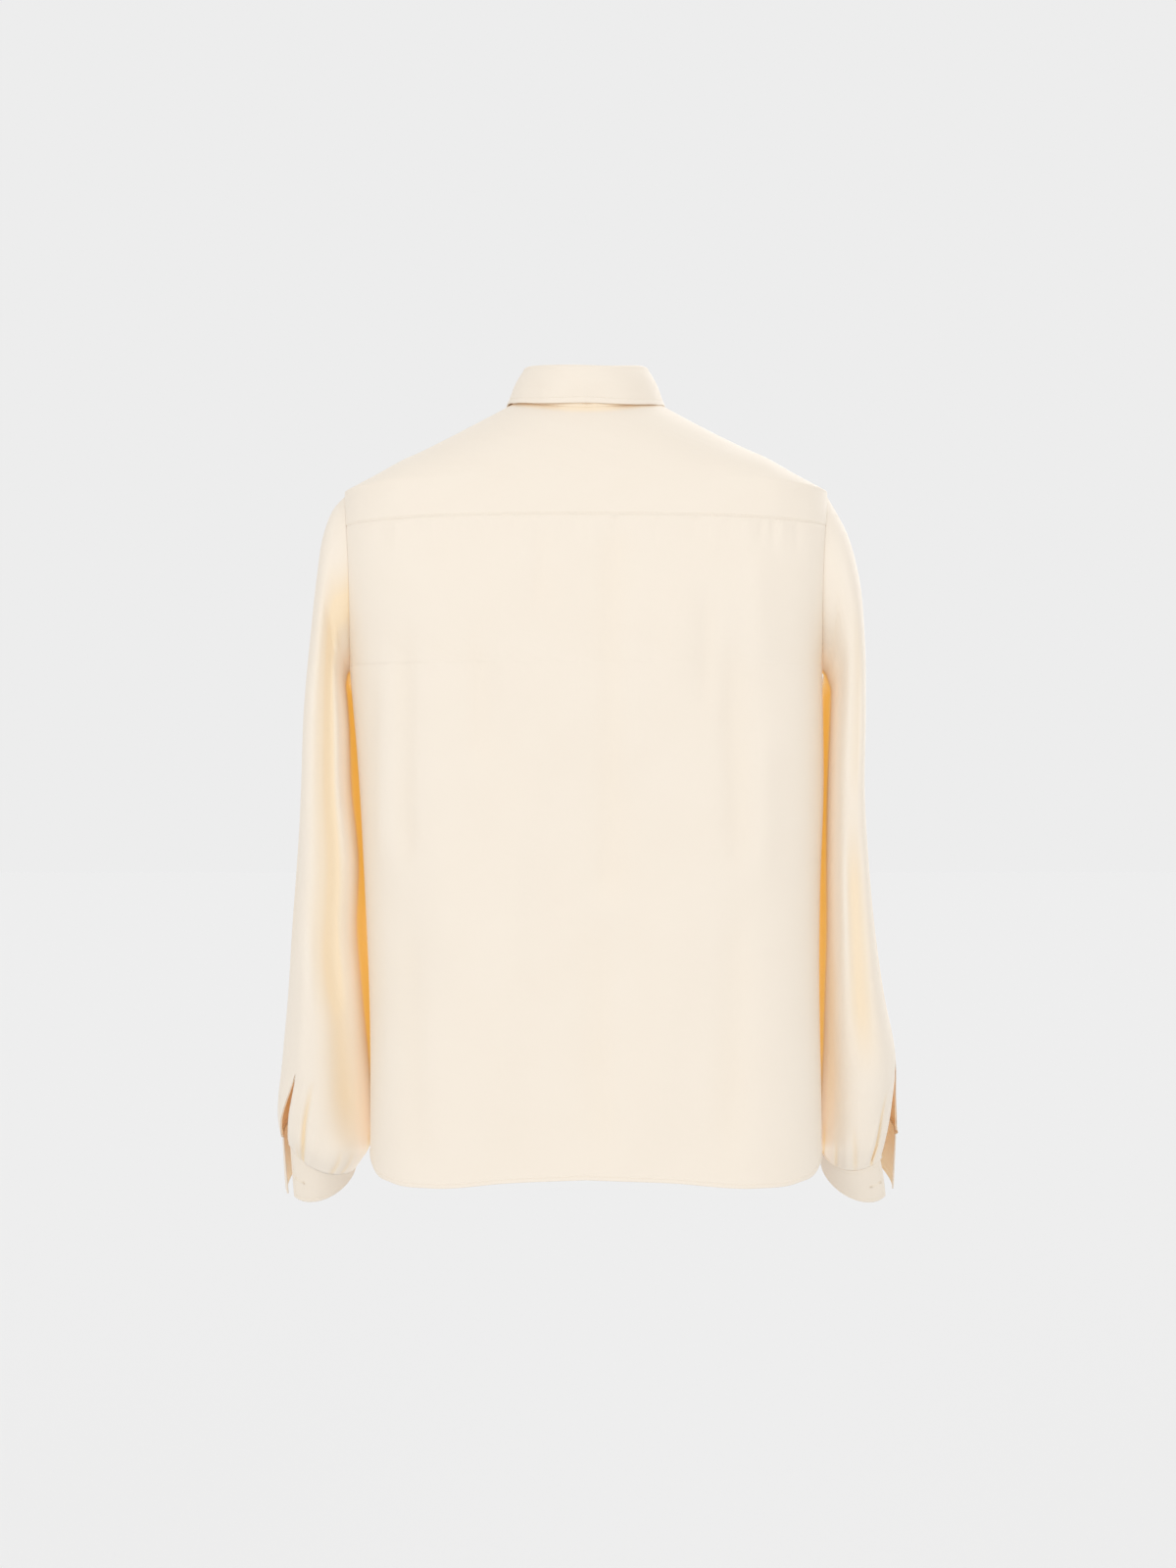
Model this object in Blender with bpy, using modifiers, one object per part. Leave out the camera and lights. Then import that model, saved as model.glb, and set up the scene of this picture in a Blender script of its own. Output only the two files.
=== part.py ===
"""Silk blouse, filled out with no wearer: back, yoke, fronts, stand collar with its fall, sleeves and open cuffs.

Run with: blender --background --python part.py
The wearer faces -Y with +X on their left, +Z is up, and the origin is the middle of the neck at the height of
the shoulder seams' neck ends. Sizes below are in millimetres. Each cloth piece is an open surface, made from
sections, that a Solidify modifier turns into a wall.
"""

import math

import bmesh
import bpy
import numpy as np
from mathutils import Matrix, Vector

MM = 0.001

# Driving dimensions.
CLOTH = 1.2             # wall of one layer of silk
COLLAR_CLOTH = 1.6      # wall of the stand, the fall and the cuffs, which are two layers with interfacing
SEAM = 0.3              # gap between two pieces at a seam
SLEEVE_GAP = 0.9        # the sleeve's start from the armhole's edge, measured between their middle surfaces
DENSE = 160             # points on a section before it is spaced evenly
HALF_COLUMNS = 13       # points across a front, and from the middle of the back to its edge
LEFT, RIGHT = 1, -1     # the wearer's sides, as the sign of x

# Where the front, the back and the sleeves meet.
HEM_Z = -655.0          # hem at the centre back and centre front
# How much lower the hem is, from the centre to the side seam as shares of the half-width, and the height over
# which that fades upwards.
HEM_DROP = {"across": (0, 0.35, 0.7, 0.88, 0.96, 1.0), "drop": (0, 3, 9, 7, 1, -10)}
HEM_SPAN = 110.0
UNDERARM_Z = -228.0
SHOULDER_TIP = (207.5, 0.0, -78.0)
NECK_POINT = (63.0, 0.0, 0.5)
ARMHOLE_BOTTOM_X = 203.0
ARMHOLE_HALF_DEPTH = 62.0
ARMHOLE_HOLLOW = 5.0    # how far the armhole is cut in at the middle of the back and front
YOKE_SEAM_Z = -105.0     # at the centre back
YOKE_EDGE_Z = -109.0    # at the armholes

# Torso: half-width at the side seams, and depth from the seam plane at the centre lines.
SIDE = {"z": (-228, -330, -420, -500, -600, -655),
        "left": (203.0, 195.5, 190.0, 187.0, 185.5, 185.0),
        "right": (203.5, 204.0, 201.5, 201.0, 202.5, 203.0)}
BACK = {"z": (-655, -480, -330, -228, -160, -109, -75, -45, -24, -10.5),
        "depth": (104, 109, 113, 114, 111, 105, 98, 87, 75, 64)}
FRONT = {"z": (-655, -400, -280, -228, -160, -118, -80, -55),
         "depth": (-100, -105, -107, -104, -93, -82, -67, -51)}
SQUARE_BODY = 3.0       # how boxy a section is: 2 is an ellipse
SQUARE_NECK = 2.0

# The centre-line height of the row that ends at each shoulder tip, and at the neckline.
BACK_TIP_Z, BACK_NECK_Z = -70.0, -10.5
FRONT_TIP_Z, FRONT_NECK_Z = -118.0, -55.0

# Soft folds of the back, from the yoke down: where they are, half-width, how far they stand out, and their ends.
BACK_FOLDS = [
    {"x": 162, "width": 17, "out": -4.0, "top": -190, "bottom": -560},
    {"x": 84, "width": 26, "out": 3.5, "top": -110, "bottom": -640},
    {"x": -18, "width": 16, "out": -4.0, "top": -97, "bottom": -700},
    {"x": -50, "width": 20, "out": 3.0, "top": -110, "bottom": -520},
    {"x": -129, "width": 18, "out": -4.0, "top": -105, "bottom": -560},
    {"x": -160, "width": 14, "out": 2.5, "top": -105, "bottom": -480},
]

FOLD_FADE = 24.0        # how far from the side seams the folds reach their height

# Front opening: the right front laps over the left one.
LAP = 15.0              # each front's reach past the centre
LAP_CLEARANCE = 0.95    # each front's shift from the common surface at the lap
LAP_FADE = (22.0, 70.0)  # x where that shift starts and ends to fade

# Collar.
STAND = {"top_half_width": 49.0, "top_back": 57.0, "top_front": -43.0,
         "side_rise": 26.5, "back_rise": 31.0, "front_rise": 24.0}
STAND_LIFT = 1.1        # from the neckline to the stand's lower edge
STAND_LAP = 13.0
STAND_LAP_COLUMNS = 4   # columns of the stand at its right end, which the neck button is on
STAND_CLEARANCE = 1.15
FALL_END = 7.0          # x of the fall's ends at the roll line
FALL_ROLL = 2.6         # radius of the roll over the stand
FALL_EDGE = {"angle": (0, 50, 78, 96, 118, 145, 172),
             "x": (0, 40.5, 61.0, 68.5, 69.0, 61.0, 46.0),
             "y": (69.5, 57.0, 32.0, 2.0, -36.0, -65.0, -81.0),
             "z": (-6.8, -4.3, 0.0, 1.2, -18.4, -57.0, -92.0)}

# Sleeves: rings from the armhole to the cuff seam. inner and outer are the ring's ends across the body, back_drop
# is how far its back point hangs below the front one, and slit is the place of the cuff slit on it, in degrees
# from the outermost point towards the back.
RING = ("inner_x", "inner_z", "outer_x", "outer_z", "mid_y", "half_depth", "back_drop", "square", "slit")
LEFT_RINGS = [
    (206.0, -233, 217.2, -89, 0, 64, 0, 2.1, 58),
    (207.0, -238, 224.7, -108, 0, 67, 0, 2.2, 58),
    (207.5, -244, 230.9, -148, 0, 70, 0, 2.3, 58),
    (206.5, -252, 236, -198, 0, 72, 0, 2.4, 57),
    (204.5, -276, 241.2, -256, 0, 73, 0, 2.5, 56),
    (202.5, -332, 244.9, -328, -1, 73, 2, 2.5, 55),
    (196.0, -392, 249.2, -392, -4, 73, 5, 2.5, 55),
    (197.5, -452, 253.7, -450, -8, 72, 8, 2.5, 56),
    (193.0, -510, 258.2, -508, -14, 70, 12, 2.4, 58),
    (189.5, -562, 264.7, -560, -22, 66, 16, 2.3, 60),
    (188.5, -606, 268.7, -598, -29, 60, 19, 2.2, 49),
    (189.5, -642, 266.7, -620, -33, 51, 21, 2.1, 39),
    (198.0, -655, 264.0, -628, -35, 41, 21, 2.0, 32),
]
RIGHT_RINGS = [
    (207.0, -233, 214.2, -90, 0, 64, 0, 2.1, 50),
    (209.0, -238, 224.2, -110, 0, 67, 0, 2.2, 50),
    (211.0, -244, 234.2, -148, 0, 70, 0, 2.3, 50),
    (211.5, -252, 238.6, -198, 0, 72, 0, 2.4, 50),
    (210.5, -276, 239.4, -256, 0, 73, 0, 2.5, 49),
    (208.5, -332, 238.8, -328, -1, 74, 2, 2.5, 47),
    (208.0, -392, 243.2, -392, -4, 74, 5, 2.5, 44),
    (208.5, -452, 249.4, -450, -8, 72, 8, 2.5, 40),
    (207.5, -510, 258.5, -508, -14, 70, 12, 2.4, 32),
    (207.0, -562, 269.2, -560, -22, 66, 16, 2.3, 24),
    (206.0, -602, 269.2, -594, -29, 60, 20, 2.2, 36),
    (205.8, -630, 269.7, -615, -33, 51, 23, 2.1, 50),
    (205.3, -643, 269.5, -627, -35, 41, 24, 2.0, 54),
]
# The sleeve ends on the cuff's seam, in rings that are this far above it and outside it.
SEAM_RINGS = ({"up": 1.2, "out": 2.2}, {"up": 1.4, "out": 0.0})
SLIT_FROM_RING = 10     # the slit is open from this ring down to the cuff
SLIT_GAP = {LEFT: 19.0, RIGHT: 33.0}     # how far the slit gapes at the cuff
SLIT_FLARE = 4.0        # how far its front edge stands out there
SLIT_FLARE_COLUMNS = {-1: 1.0, -2: 0.7, -3: 0.3}    # the share of that flare at the last columns
# The long soft trough down the back of each sleeve: its place in degrees, half-width, depth and the rings it spans.
SLEEVE_TROUGH = {LEFT: {"angle": 112, "width": 20, "depth": 5.0, "first": 4, "last": 12},
                 RIGHT: {"angle": 78, "width": 17, "depth": 5.0, "first": 5, "last": 12}}

# How far the inner front of each sleeve swings in towards the body, and the heights over which it does.
SLEEVE_SWING = {LEFT: 18.0, RIGHT: 14.0}
SWING_Z = (-245.0, -310.0, -585.0, -640.0)

# Cuffs: the upper and the lower ring of each.
CUFF_RING = ("centre_x", "centre_y", "centre_z", "half_width", "half_depth", "back_drop", "outer_drop")
CUFFS = {LEFT: [(233.0, -34.0, -638.0, 30.0, 34.0, 20.0, -8.0), (234.5, -60.0, -674.0, 29.5, 31.0, 20.0, 7.0)],
         RIGHT: [(237.5, -34.0, -636.5, 31.0, 34.0, 26.0, -6.0), (239.5, -60.0, -674.0, 30.0, 31.0, 20.0, 8.0)]}

# Placket strips behind the edges of each slit.
PLACKET_WIDTH = 9.0
PLACKET_SET_IN = {LEFT: 1.9, RIGHT: 2.5}    # from the sleeve's middle surface to the strip's

# Buttons.
BUTTON_DIAMETER, BUTTON_THICK, BUTTON_EDGE = 10.0, 2.2, 0.5
BUTTON_GAP = 0.4
FRONT_BUTTONS, FIRST_BUTTON_Z, BUTTON_SPACING = 6, -106.0, 88.0

SILK = {"name": "cream silk crepe", "colour": (0.94, 0.86, 0.74, 1), "roughness": 0.55, "metallic": 0.0}
SHELL = {"name": "shell button", "colour": (0.90, 0.86, 0.78, 1), "roughness": 0.25, "metallic": 0.0}


def smooth(xs, ys, at):
    """A cubic through the points (xs, ys), whose slope at each point is that of its neighbours' chord."""
    order = np.argsort(xs)
    xs, ys = np.array(xs, float)[order], np.array(ys, float)[order]
    slope = np.gradient(ys, xs)
    at = np.clip(at, xs[0], xs[-1])
    i = np.clip(np.searchsorted(xs, at) - 1, 0, len(xs) - 2)
    h = xs[i + 1] - xs[i]
    t = (at - xs[i]) / h
    return ((1 + 2 * t) * (1 - t) ** 2 * ys[i] + t * (1 - t) ** 2 * h * slope[i]
            + t * t * (3 - 2 * t) * ys[i + 1] - t * t * (1 - t) * h * slope[i + 1])


def ease(value, start, end):
    """0 at start, 1 at end, with no corner at either."""
    t = np.clip((value - start) / (end - start), 0, 1)
    return t * t * (3 - 2 * t)


def spaced(line, count):
    """The polyline again, as count points at even steps along it."""
    along = np.concatenate([[0], np.cumsum(np.linalg.norm(np.diff(line, axis=0), axis=1))])
    at = np.linspace(0, along[-1], count)
    return np.stack([np.interp(at, along, line[:, k]) for k in range(3)], axis=1)


# --- Torso ---------------------------------------------------------------------------------------------------

def armhole(angle):
    """A point of the left armhole: angle is 0 at the shoulder tip, and positive towards the back."""
    rise = (SHOULDER_TIP[2] - UNDERARM_Z) / 2
    x = (SHOULDER_TIP[0] + ARMHOLE_BOTTOM_X) / 2 + (SHOULDER_TIP[0] - ARMHOLE_BOTTOM_X) / 2 * math.cos(angle)
    x -= ARMHOLE_HOLLOW * math.sin(angle) ** 2
    return np.array([x, ARMHOLE_HALF_DEPTH * math.sin(angle), UNDERARM_Z + rise * (1 + math.cos(angle))])


def armhole_angle(z):
    """The angle at which the armhole is at height z."""
    rise = (SHOULDER_TIP[2] - UNDERARM_Z) / 2
    return math.acos(max(-1.0, min(1.0, (z - UNDERARM_Z) / rise - 1)))


def half_section(mid_y, mid_z, edge, square):
    """Half a section from the centre line to its edge: in plan a superellipse arc, and its height eases to the
    edge's with the square of the sine."""
    end = math.acos(min(1.0, max(0.0, edge[1] / mid_y)) ** (square / 2))
    angle = np.linspace(0, end, DENSE)
    width = edge[0] / math.sin(end) ** (2 / square)
    across = width * np.sin(angle) ** (2 / square)
    deep = mid_y * np.clip(np.cos(angle), 0, 1) ** (2 / square)
    height = mid_z + (edge[2] - mid_z) * (np.sin(angle) / math.sin(end)) ** 2
    return np.stack([across, deep, height], axis=1)


def side_x(side, z):
    """The half-width of the torso on one side, at height z."""
    return float(smooth(SIDE["z"], SIDE["left" if side == LEFT else "right"], z))


def hem_drop(x, z):
    """How much lower than its row a point near the hem is."""
    half = np.where(x > 0, side_x(LEFT, HEM_Z), side_x(RIGHT, HEM_Z))
    return smooth(HEM_DROP["across"], HEM_DROP["drop"], np.abs(x) / half) * ease(z, HEM_Z + HEM_SPAN, HEM_Z)


def side_rows(count):
    """(centre height, edge maker) for the rows from the hem to just under the arm."""
    return [(z, lambda side, z=z: np.array([side_x(side, z), 0, z])) for z in np.linspace(HEM_Z, UNDERARM_Z, count)]


def armhole_rows(angles, mids):
    return [(mid, lambda side, a=a: armhole(a)) for a, mid in zip(angles, mids)]


def shoulder_rows(count, tip_mid, neck_mid):
    """Rows that end along the shoulder seam, after the tip's and up to the neckline."""
    rows = []
    for t in np.linspace(0, 1, count + 1)[1:]:
        edge = (1 - t) * np.array(SHOULDER_TIP) + t * np.array(NECK_POINT)
        rows.append(((1 - t) * tip_mid + t * neck_mid, lambda side, edge=edge: edge))
    return rows


def squareness(mid_z, neck_mid, tip_mid):
    """Sections turn from boxy to round between the shoulder tips and the neck."""
    return SQUARE_BODY + (SQUARE_NECK - SQUARE_BODY) * float(ease(mid_z, tip_mid, neck_mid))


def fold_shift(x, z):
    """How far the folds of the back stand out along a row at x and z. They fade out at both its ends."""
    out = np.zeros_like(x)
    inside = ease(x, x[0], x[0] + FOLD_FADE) * ease(x, x[-1], x[-1] - FOLD_FADE)
    for fold in BACK_FOLDS:
        share = ease(z, fold["top"] + 5, fold["top"] - 70) * ease(z, fold["bottom"], fold["bottom"] + 120)
        out += fold["out"] * share * inside * np.exp(-((x - fold["x"]) / fold["width"]) ** 2)
    return out


def back_rows(rows, columns, tip_mid, neck_mid):
    """Full-width rows of the back or yoke, from the right edge to the left one, as an array of points."""
    grid = []
    for mid_z, edge in rows:
        depth = smooth(BACK["z"], BACK["depth"], mid_z)
        square = squareness(mid_z, neck_mid, tip_mid)
        halves = [half_section(depth, mid_z, edge(side), square) * (side, 1, 1) for side in (RIGHT, LEFT)]
        row = np.concatenate([spaced(halves[0], columns)[::-1], spaced(halves[1], columns)[1:]])
        row[:, 1] += fold_shift(row[:, 0], row[:, 2])
        row[:, 2] -= hem_drop(row[:, 0], row[:, 2])
        grid.append(row)
    return np.array(grid)


def trim(grid, first=0.0, last=0.0, left=0.0, right=0.0):
    """Moves the outer rows and columns of a grid inwards along the surface, to leave room for a seam."""
    grid = grid.copy()
    for index, inner, amount in ((0, 1, first), (-1, -2, last)):
        step = grid[inner] - grid[index]
        grid[index] += step / np.linalg.norm(step, axis=1)[:, None] * amount
    for index, inner, amount in ((0, 1, left), (-1, -2, right)):
        step = grid[:, inner] - grid[:, index]
        grid[:, index] += step / np.linalg.norm(step, axis=1)[:, None] * amount
    return grid


def back_panel():
    """The back: one piece from the hem to the yoke seam, between the side seams and armholes."""
    top = armhole_angle(YOKE_EDGE_Z)
    angles = np.linspace(math.pi, top, 7)[1:]
    mids = [float(armhole(a)[2]) for a in angles]
    mids = [z + (YOKE_SEAM_Z - YOKE_EDGE_Z) * (z - UNDERARM_Z) / (YOKE_EDGE_Z - UNDERARM_Z) for z in mids]
    rows = side_rows(9) + armhole_rows(angles, mids)
    grid = back_rows(rows, HALF_COLUMNS, BACK_TIP_Z, BACK_NECK_Z)
    return trim(grid, last=SEAM / 2, left=SEAM / 2, right=SEAM / 2)


def yoke_panel():
    """The yoke: from the yoke seam over the top of the armholes to the shoulder seams and neckline."""
    angles = np.linspace(armhole_angle(YOKE_EDGE_Z), 0, 4)
    rows = armhole_rows(angles, np.linspace(YOKE_SEAM_Z, BACK_TIP_Z, 4))
    rows += shoulder_rows(6, BACK_TIP_Z, BACK_NECK_Z)
    grid = back_rows(rows, HALF_COLUMNS, BACK_TIP_Z, BACK_NECK_Z)
    return trim(grid, first=SEAM / 2, last=SEAM / 2, left=SEAM / 2, right=SEAM / 2)


def lap_shift(side, x, clearance):
    """The right front lies outside the common surface at the lap, and the left one inside it."""
    return -RIGHT * side * clearance * (1 - ease(abs(x), *LAP_FADE))


def front_panel(side):
    """A front: from the edge past the centre to the side seam, armhole and shoulder seam."""
    angles = np.linspace(math.pi, 0, 8)[1:]
    mids = [UNDERARM_Z + (FRONT_TIP_Z - UNDERARM_Z) * (armhole(a)[2] - UNDERARM_Z) / (SHOULDER_TIP[2] - UNDERARM_Z)
            for a in angles]
    rows = side_rows(8) + armhole_rows(-angles, mids) + shoulder_rows(4, FRONT_TIP_Z, FRONT_NECK_Z)
    grid = []
    for mid_z, edge in rows:
        depth = smooth(FRONT["z"], FRONT["depth"], mid_z)
        half = half_section(depth, mid_z, edge(side), squareness(mid_z, FRONT_NECK_Z, FRONT_TIP_Z))
        reach = half[half[:, 0] < LAP][::-1] * (-1, 1, 1)
        last = np.stack([np.interp(LAP, half[:, 0], half[:, k]) for k in range(3)]) * (-1, 1, 1)
        row = spaced(np.concatenate([[last], reach[:-1], half]), HALF_COLUMNS) * (side, 1, 1)
        row[:, 1] += lap_shift(side, row[:, 0], LAP_CLEARANCE)
        row[:, 2] -= hem_drop(row[:, 0], row[:, 2])
        grid.append(row)
    return trim(np.array(grid), last=SEAM / 2, right=SEAM / 2)


# --- Collar --------------------------------------------------------------------------------------------------

def ring_point(angle, half_width, back, front, side_z, back_z, front_z):
    """A point of an egg-shaped ring round the neck. Angle is 0 at the centre back and 180 degrees at the front."""
    c, s = math.cos(angle), math.sin(angle)
    deep, high = (back, back_z) if c > 0 else (-front, front_z)
    return np.array([half_width * s, deep * c, side_z + (high - side_z) * c * c])


def neckline(angle):
    return ring_point(angle, NECK_POINT[0], BACK["depth"][-1], FRONT["depth"][-1], NECK_POINT[2],
                      BACK_NECK_Z, FRONT_NECK_Z)


def stand_top(angle):
    return ring_point(angle, STAND["top_half_width"], STAND["top_back"], STAND["top_front"],
                      NECK_POINT[2] + STAND["side_rise"], BACK_NECK_Z + STAND["back_rise"],
                      FRONT_NECK_Z + STAND["front_rise"])


def outward(angle):
    """The level direction away from the neck at that angle."""
    ahead, behind = neckline(angle + 0.01), neckline(angle - 0.01)
    step = (ahead - behind) * (1, 1, 0)
    return np.array([-step[1], step[0], 0]) / np.linalg.norm(step)


def stand_panel():
    """The stand: a band from the neckline up, from lap to lap round the back."""
    reach = math.pi + STAND_LAP / NECK_POINT[0]
    grid = []
    for rise in np.linspace(0, 1, 4):
        row = []
        for angle in np.linspace(-reach, reach, 29):
            low = neckline(angle) + (0, 0, STAND_LIFT)
            point = low + (stand_top(angle) - low) * rise
            lap_side = 1 if angle > 0 else -1
            point[1] += lap_shift(lap_side, point[0], STAND_CLEARANCE) * (1 if abs(angle) > math.pi / 2 else 0)
            row.append(point)
        grid.append(row)
    return np.array(grid)


def fall_edge(angle):
    """A point of the fall's outer edge, on the left side."""
    degrees = math.degrees(angle)
    return np.array([float(smooth(FALL_EDGE["angle"], FALL_EDGE[k], degrees)) for k in "xyz"])


def fall_panel():
    """The fall: from the top of the stand over the roll and down to its outer edge and points."""
    end = math.pi - math.asin(FALL_END / STAND["top_half_width"])
    last_edge = math.radians(FALL_EDGE["angle"][-1])
    columns = []
    for share in np.linspace(-1, 1, 29):
        side = 1 if share >= 0 else -1
        angle = abs(share) * end
        top, out = stand_top(angle), outward(angle)
        centre = top + (0, 0, SEAM + COLLAR_CLOTH) + out * FALL_ROLL
        column = [centre + FALL_ROLL * (-out * math.cos(turn) + np.array([0, 0, 1]) * math.sin(turn))
                  for turn in np.linspace(0, math.pi, 5)]
        edge = fall_edge(abs(share) * last_edge)
        start = column[-1]
        for t in np.linspace(0, 1, 5)[1:]:
            column.append(start + (edge - start) * t + out * 3.0 * math.sin(math.pi * t) * (1 - t))
        columns.append(np.array(column) * (side, 1, 1))
    return np.array(columns).transpose(1, 0, 2)


# --- Sleeves -------------------------------------------------------------------------------------------------

def rounded(angle, square):
    """The cosine and sine of a superellipse at that angle."""
    c, s = math.cos(angle), math.sin(angle)
    return (math.copysign(abs(c) ** (2 / square), c), math.copysign(abs(s) ** (2 / square), s))


def sleeve_point(ring, angle, side, index):
    """A point of a sleeve ring: angle is 0 at the outermost point and positive towards the back."""
    r = dict(zip(RING, ring))
    c, s = rounded(angle, r["square"])
    inner, outer = np.array([r["inner_x"], 0, r["inner_z"]]), np.array([r["outer_x"], 0, r["outer_z"]])
    point = (inner + outer) / 2 + (outer - inner) / 2 * c
    point += (0, r["mid_y"] + r["half_depth"] * s, -r["back_drop"] * s)
    level = (r["inner_z"] + r["outer_z"]) / 2
    swing = SLEEVE_SWING[side] * float(ease(level, SWING_Z[0], SWING_Z[1]) * ease(level, SWING_Z[3], SWING_Z[2]))
    point[0] -= swing * max(0, -s) * max(0, -c)
    trough = SLEEVE_TROUGH[side]
    near = math.remainder(math.degrees(angle) - trough["angle"], 360)
    share = ease(index, trough["first"] - 1, trough["first"] + 2) * ease(index, trough["last"], trough["last"] - 3)
    depth = trough["depth"] * share * math.exp(-(near / trough["width"]) ** 2)
    centre = (inner + outer) / 2 + (0, r["mid_y"], 0)
    inwards = (centre - point) * (0.3, 1, 0)
    return point + inwards / np.linalg.norm(inwards) * depth


def sleeve_start(angle, side):
    """A point of the sleeve's first ring, just outside the armhole. It stands clear of the side under the arm."""
    point = armhole(angle)
    point[0] += SLEEVE_GAP + (CLOTH + SEAM) * (1 - math.cos(angle)) / 2
    return point


def sleeve_angles(slit, gape, count):
    """Angles round a ring, from the slit's back edge towards the back and round to its front edge."""
    return np.linspace(math.radians(slit), math.radians(slit - gape) + 2 * math.pi, count)


def slit_gape(ring, index, side):
    """How open the slit is at a ring: as a share of its gap at the cuff, and in degrees."""
    r = dict(zip(RING, ring))
    share = max(0, index - SLIT_FROM_RING + 1) / (len(LEFT_RINGS) - SLIT_FROM_RING)
    return share, math.degrees(SLIT_GAP[side] * share / r["half_depth"])


def flared(row, share):
    """The row with its last points, at the slit's front edge, standing out."""
    for column, weight in SLIT_FLARE_COLUMNS.items():
        row[column] = row[column] + np.array([SLIT_FLARE * share * weight, 0, 0])
    return row


def seam_ring_point(side, angle, above):
    """A point of the sleeve's end, beside the cuff's seam."""
    seam = cuff_point(side, 0, angle)
    out = (seam - CUFFS[side][0][:3]) * (1, 1, 0)
    return seam + out / np.linalg.norm(out) * above["out"] + (0, 0, above["up"])


def sleeve_panel(side, columns=21):
    """A sleeve: a tube from the armhole to the cuff seam, with a slit at the cuff."""
    rings = LEFT_RINGS if side == LEFT else RIGHT_RINGS
    grid = [[sleeve_start(a, side) for a in sleeve_angles(rings[0][-1], 0, columns)]]
    for index, ring in enumerate(rings):
        share, gape = slit_gape(ring, index, side)
        row = [sleeve_point(ring, a, side, index) for a in sleeve_angles(ring[-1], gape, columns)]
        grid.append(flared(row, share))
    share, gape = slit_gape(rings[-1], len(rings) - 1, side)
    for above in SEAM_RINGS:
        row = [seam_ring_point(side, a, above) for a in sleeve_angles(rings[-1][-1], gape, columns)]
        grid.append(flared(row, share))
    return np.array(grid) * (side, 1, 1)


def placket_panel(side, sleeve):
    """The placket: a strip behind both edges of the slit, in one piece round its top."""
    inner_rows = range(SLIT_FROM_RING + 1, len(sleeve) - len(SEAM_RINGS))
    rows = []
    for share in (0.0, 1.0):
        path = []
        for columns, order in (((0, 1), reversed(inner_rows)), ((-1, -2), inner_rows)):
            for row in order:
                edge, inside = sleeve[row][columns[0]], sleeve[row][columns[1]]
                along = (inside - edge) / np.linalg.norm(inside - edge)
                down = sleeve[row][columns[0]] - sleeve[row - 1][columns[0]]
                turn = 1 if columns[0] == 0 else -1
                normal = np.cross(along, down) * turn * side
                normal /= np.linalg.norm(normal)
                reach = along - down / np.linalg.norm(down) if row == SLIT_FROM_RING + 1 else along
                path.append(edge + reach * PLACKET_WIDTH * share + normal * PLACKET_SET_IN[side])
        rows.append(path)
    return np.array(rows)


def cuff_point(side, rise, angle):
    """A point of a cuff: rise is 0 at its seam and 1 at its lower edge."""
    rings = [dict(zip(CUFF_RING, ring)) for ring in CUFFS[side]]
    points = []
    for r in rings:
        c, s = math.cos(angle), math.sin(angle)
        points.append(np.array([r["centre_x"] + r["half_width"] * c, r["centre_y"] + r["half_depth"] * s,
                                r["centre_z"] - r["back_drop"] * s - r["outer_drop"] * c]))
    return points[0] + (points[1] - points[0]) * rise


def cuff_panel(side, columns=21):
    """A cuff: a band that is open at the slit, its front end standing out a little."""
    rings = LEFT_RINGS if side == LEFT else RIGHT_RINGS
    slit, gape = rings[-1][-1], slit_gape(rings[-1], len(rings) - 1, side)[1]
    grid = []
    for rise in np.linspace(0, 1, 4):
        row = [cuff_point(side, rise, a) for a in sleeve_angles(slit, gape, columns)]
        grid.append(flared(row, 1.0))
    return np.array(grid) * (side, 1, 1)


# --- Blender objects -----------------------------------------------------------------------------------------

def clear_scene():
    for obj in list(bpy.data.objects):
        bpy.data.objects.remove(obj, do_unlink=True)


def material(spec):
    found = bpy.data.materials.get(spec["name"]) or bpy.data.materials.new(spec["name"])
    found.use_nodes = True
    shader = found.node_tree.nodes["Principled BSDF"]
    shader.inputs["Base Color"].default_value = spec["colour"]
    shader.inputs["Roughness"].default_value = spec["roughness"]
    shader.inputs["Metallic"].default_value = spec["metallic"]
    return found


def cloth(name, grid, wall, collection):
    """A cloth piece: the grid as an open surface of quads, and Solidify to give it its wall."""
    rows, columns = grid.shape[:2]
    number = np.arange(rows * columns).reshape(rows, columns)
    quads = np.stack([number[:-1, :-1], number[:-1, 1:], number[1:, 1:], number[1:, :-1]], axis=-1)
    mesh = bpy.data.meshes.new(name)
    mesh.from_pydata((grid.reshape(-1, 3) * MM).tolist(), [], quads.reshape(-1, 4).tolist())
    bm = bmesh.new()
    bm.from_mesh(mesh)
    bmesh.ops.remove_doubles(bm, verts=bm.verts, dist=0.05 * MM)
    bm.to_mesh(mesh)
    bm.free()
    mesh.shade_smooth()
    mesh.materials.append(material(SILK))
    obj = bpy.data.objects.new(name, mesh)
    collection.objects.link(obj)
    solidify = obj.modifiers.new("wall", "SOLIDIFY")
    solidify.thickness = wall * MM
    solidify.offset = 0
    return obj


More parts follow.
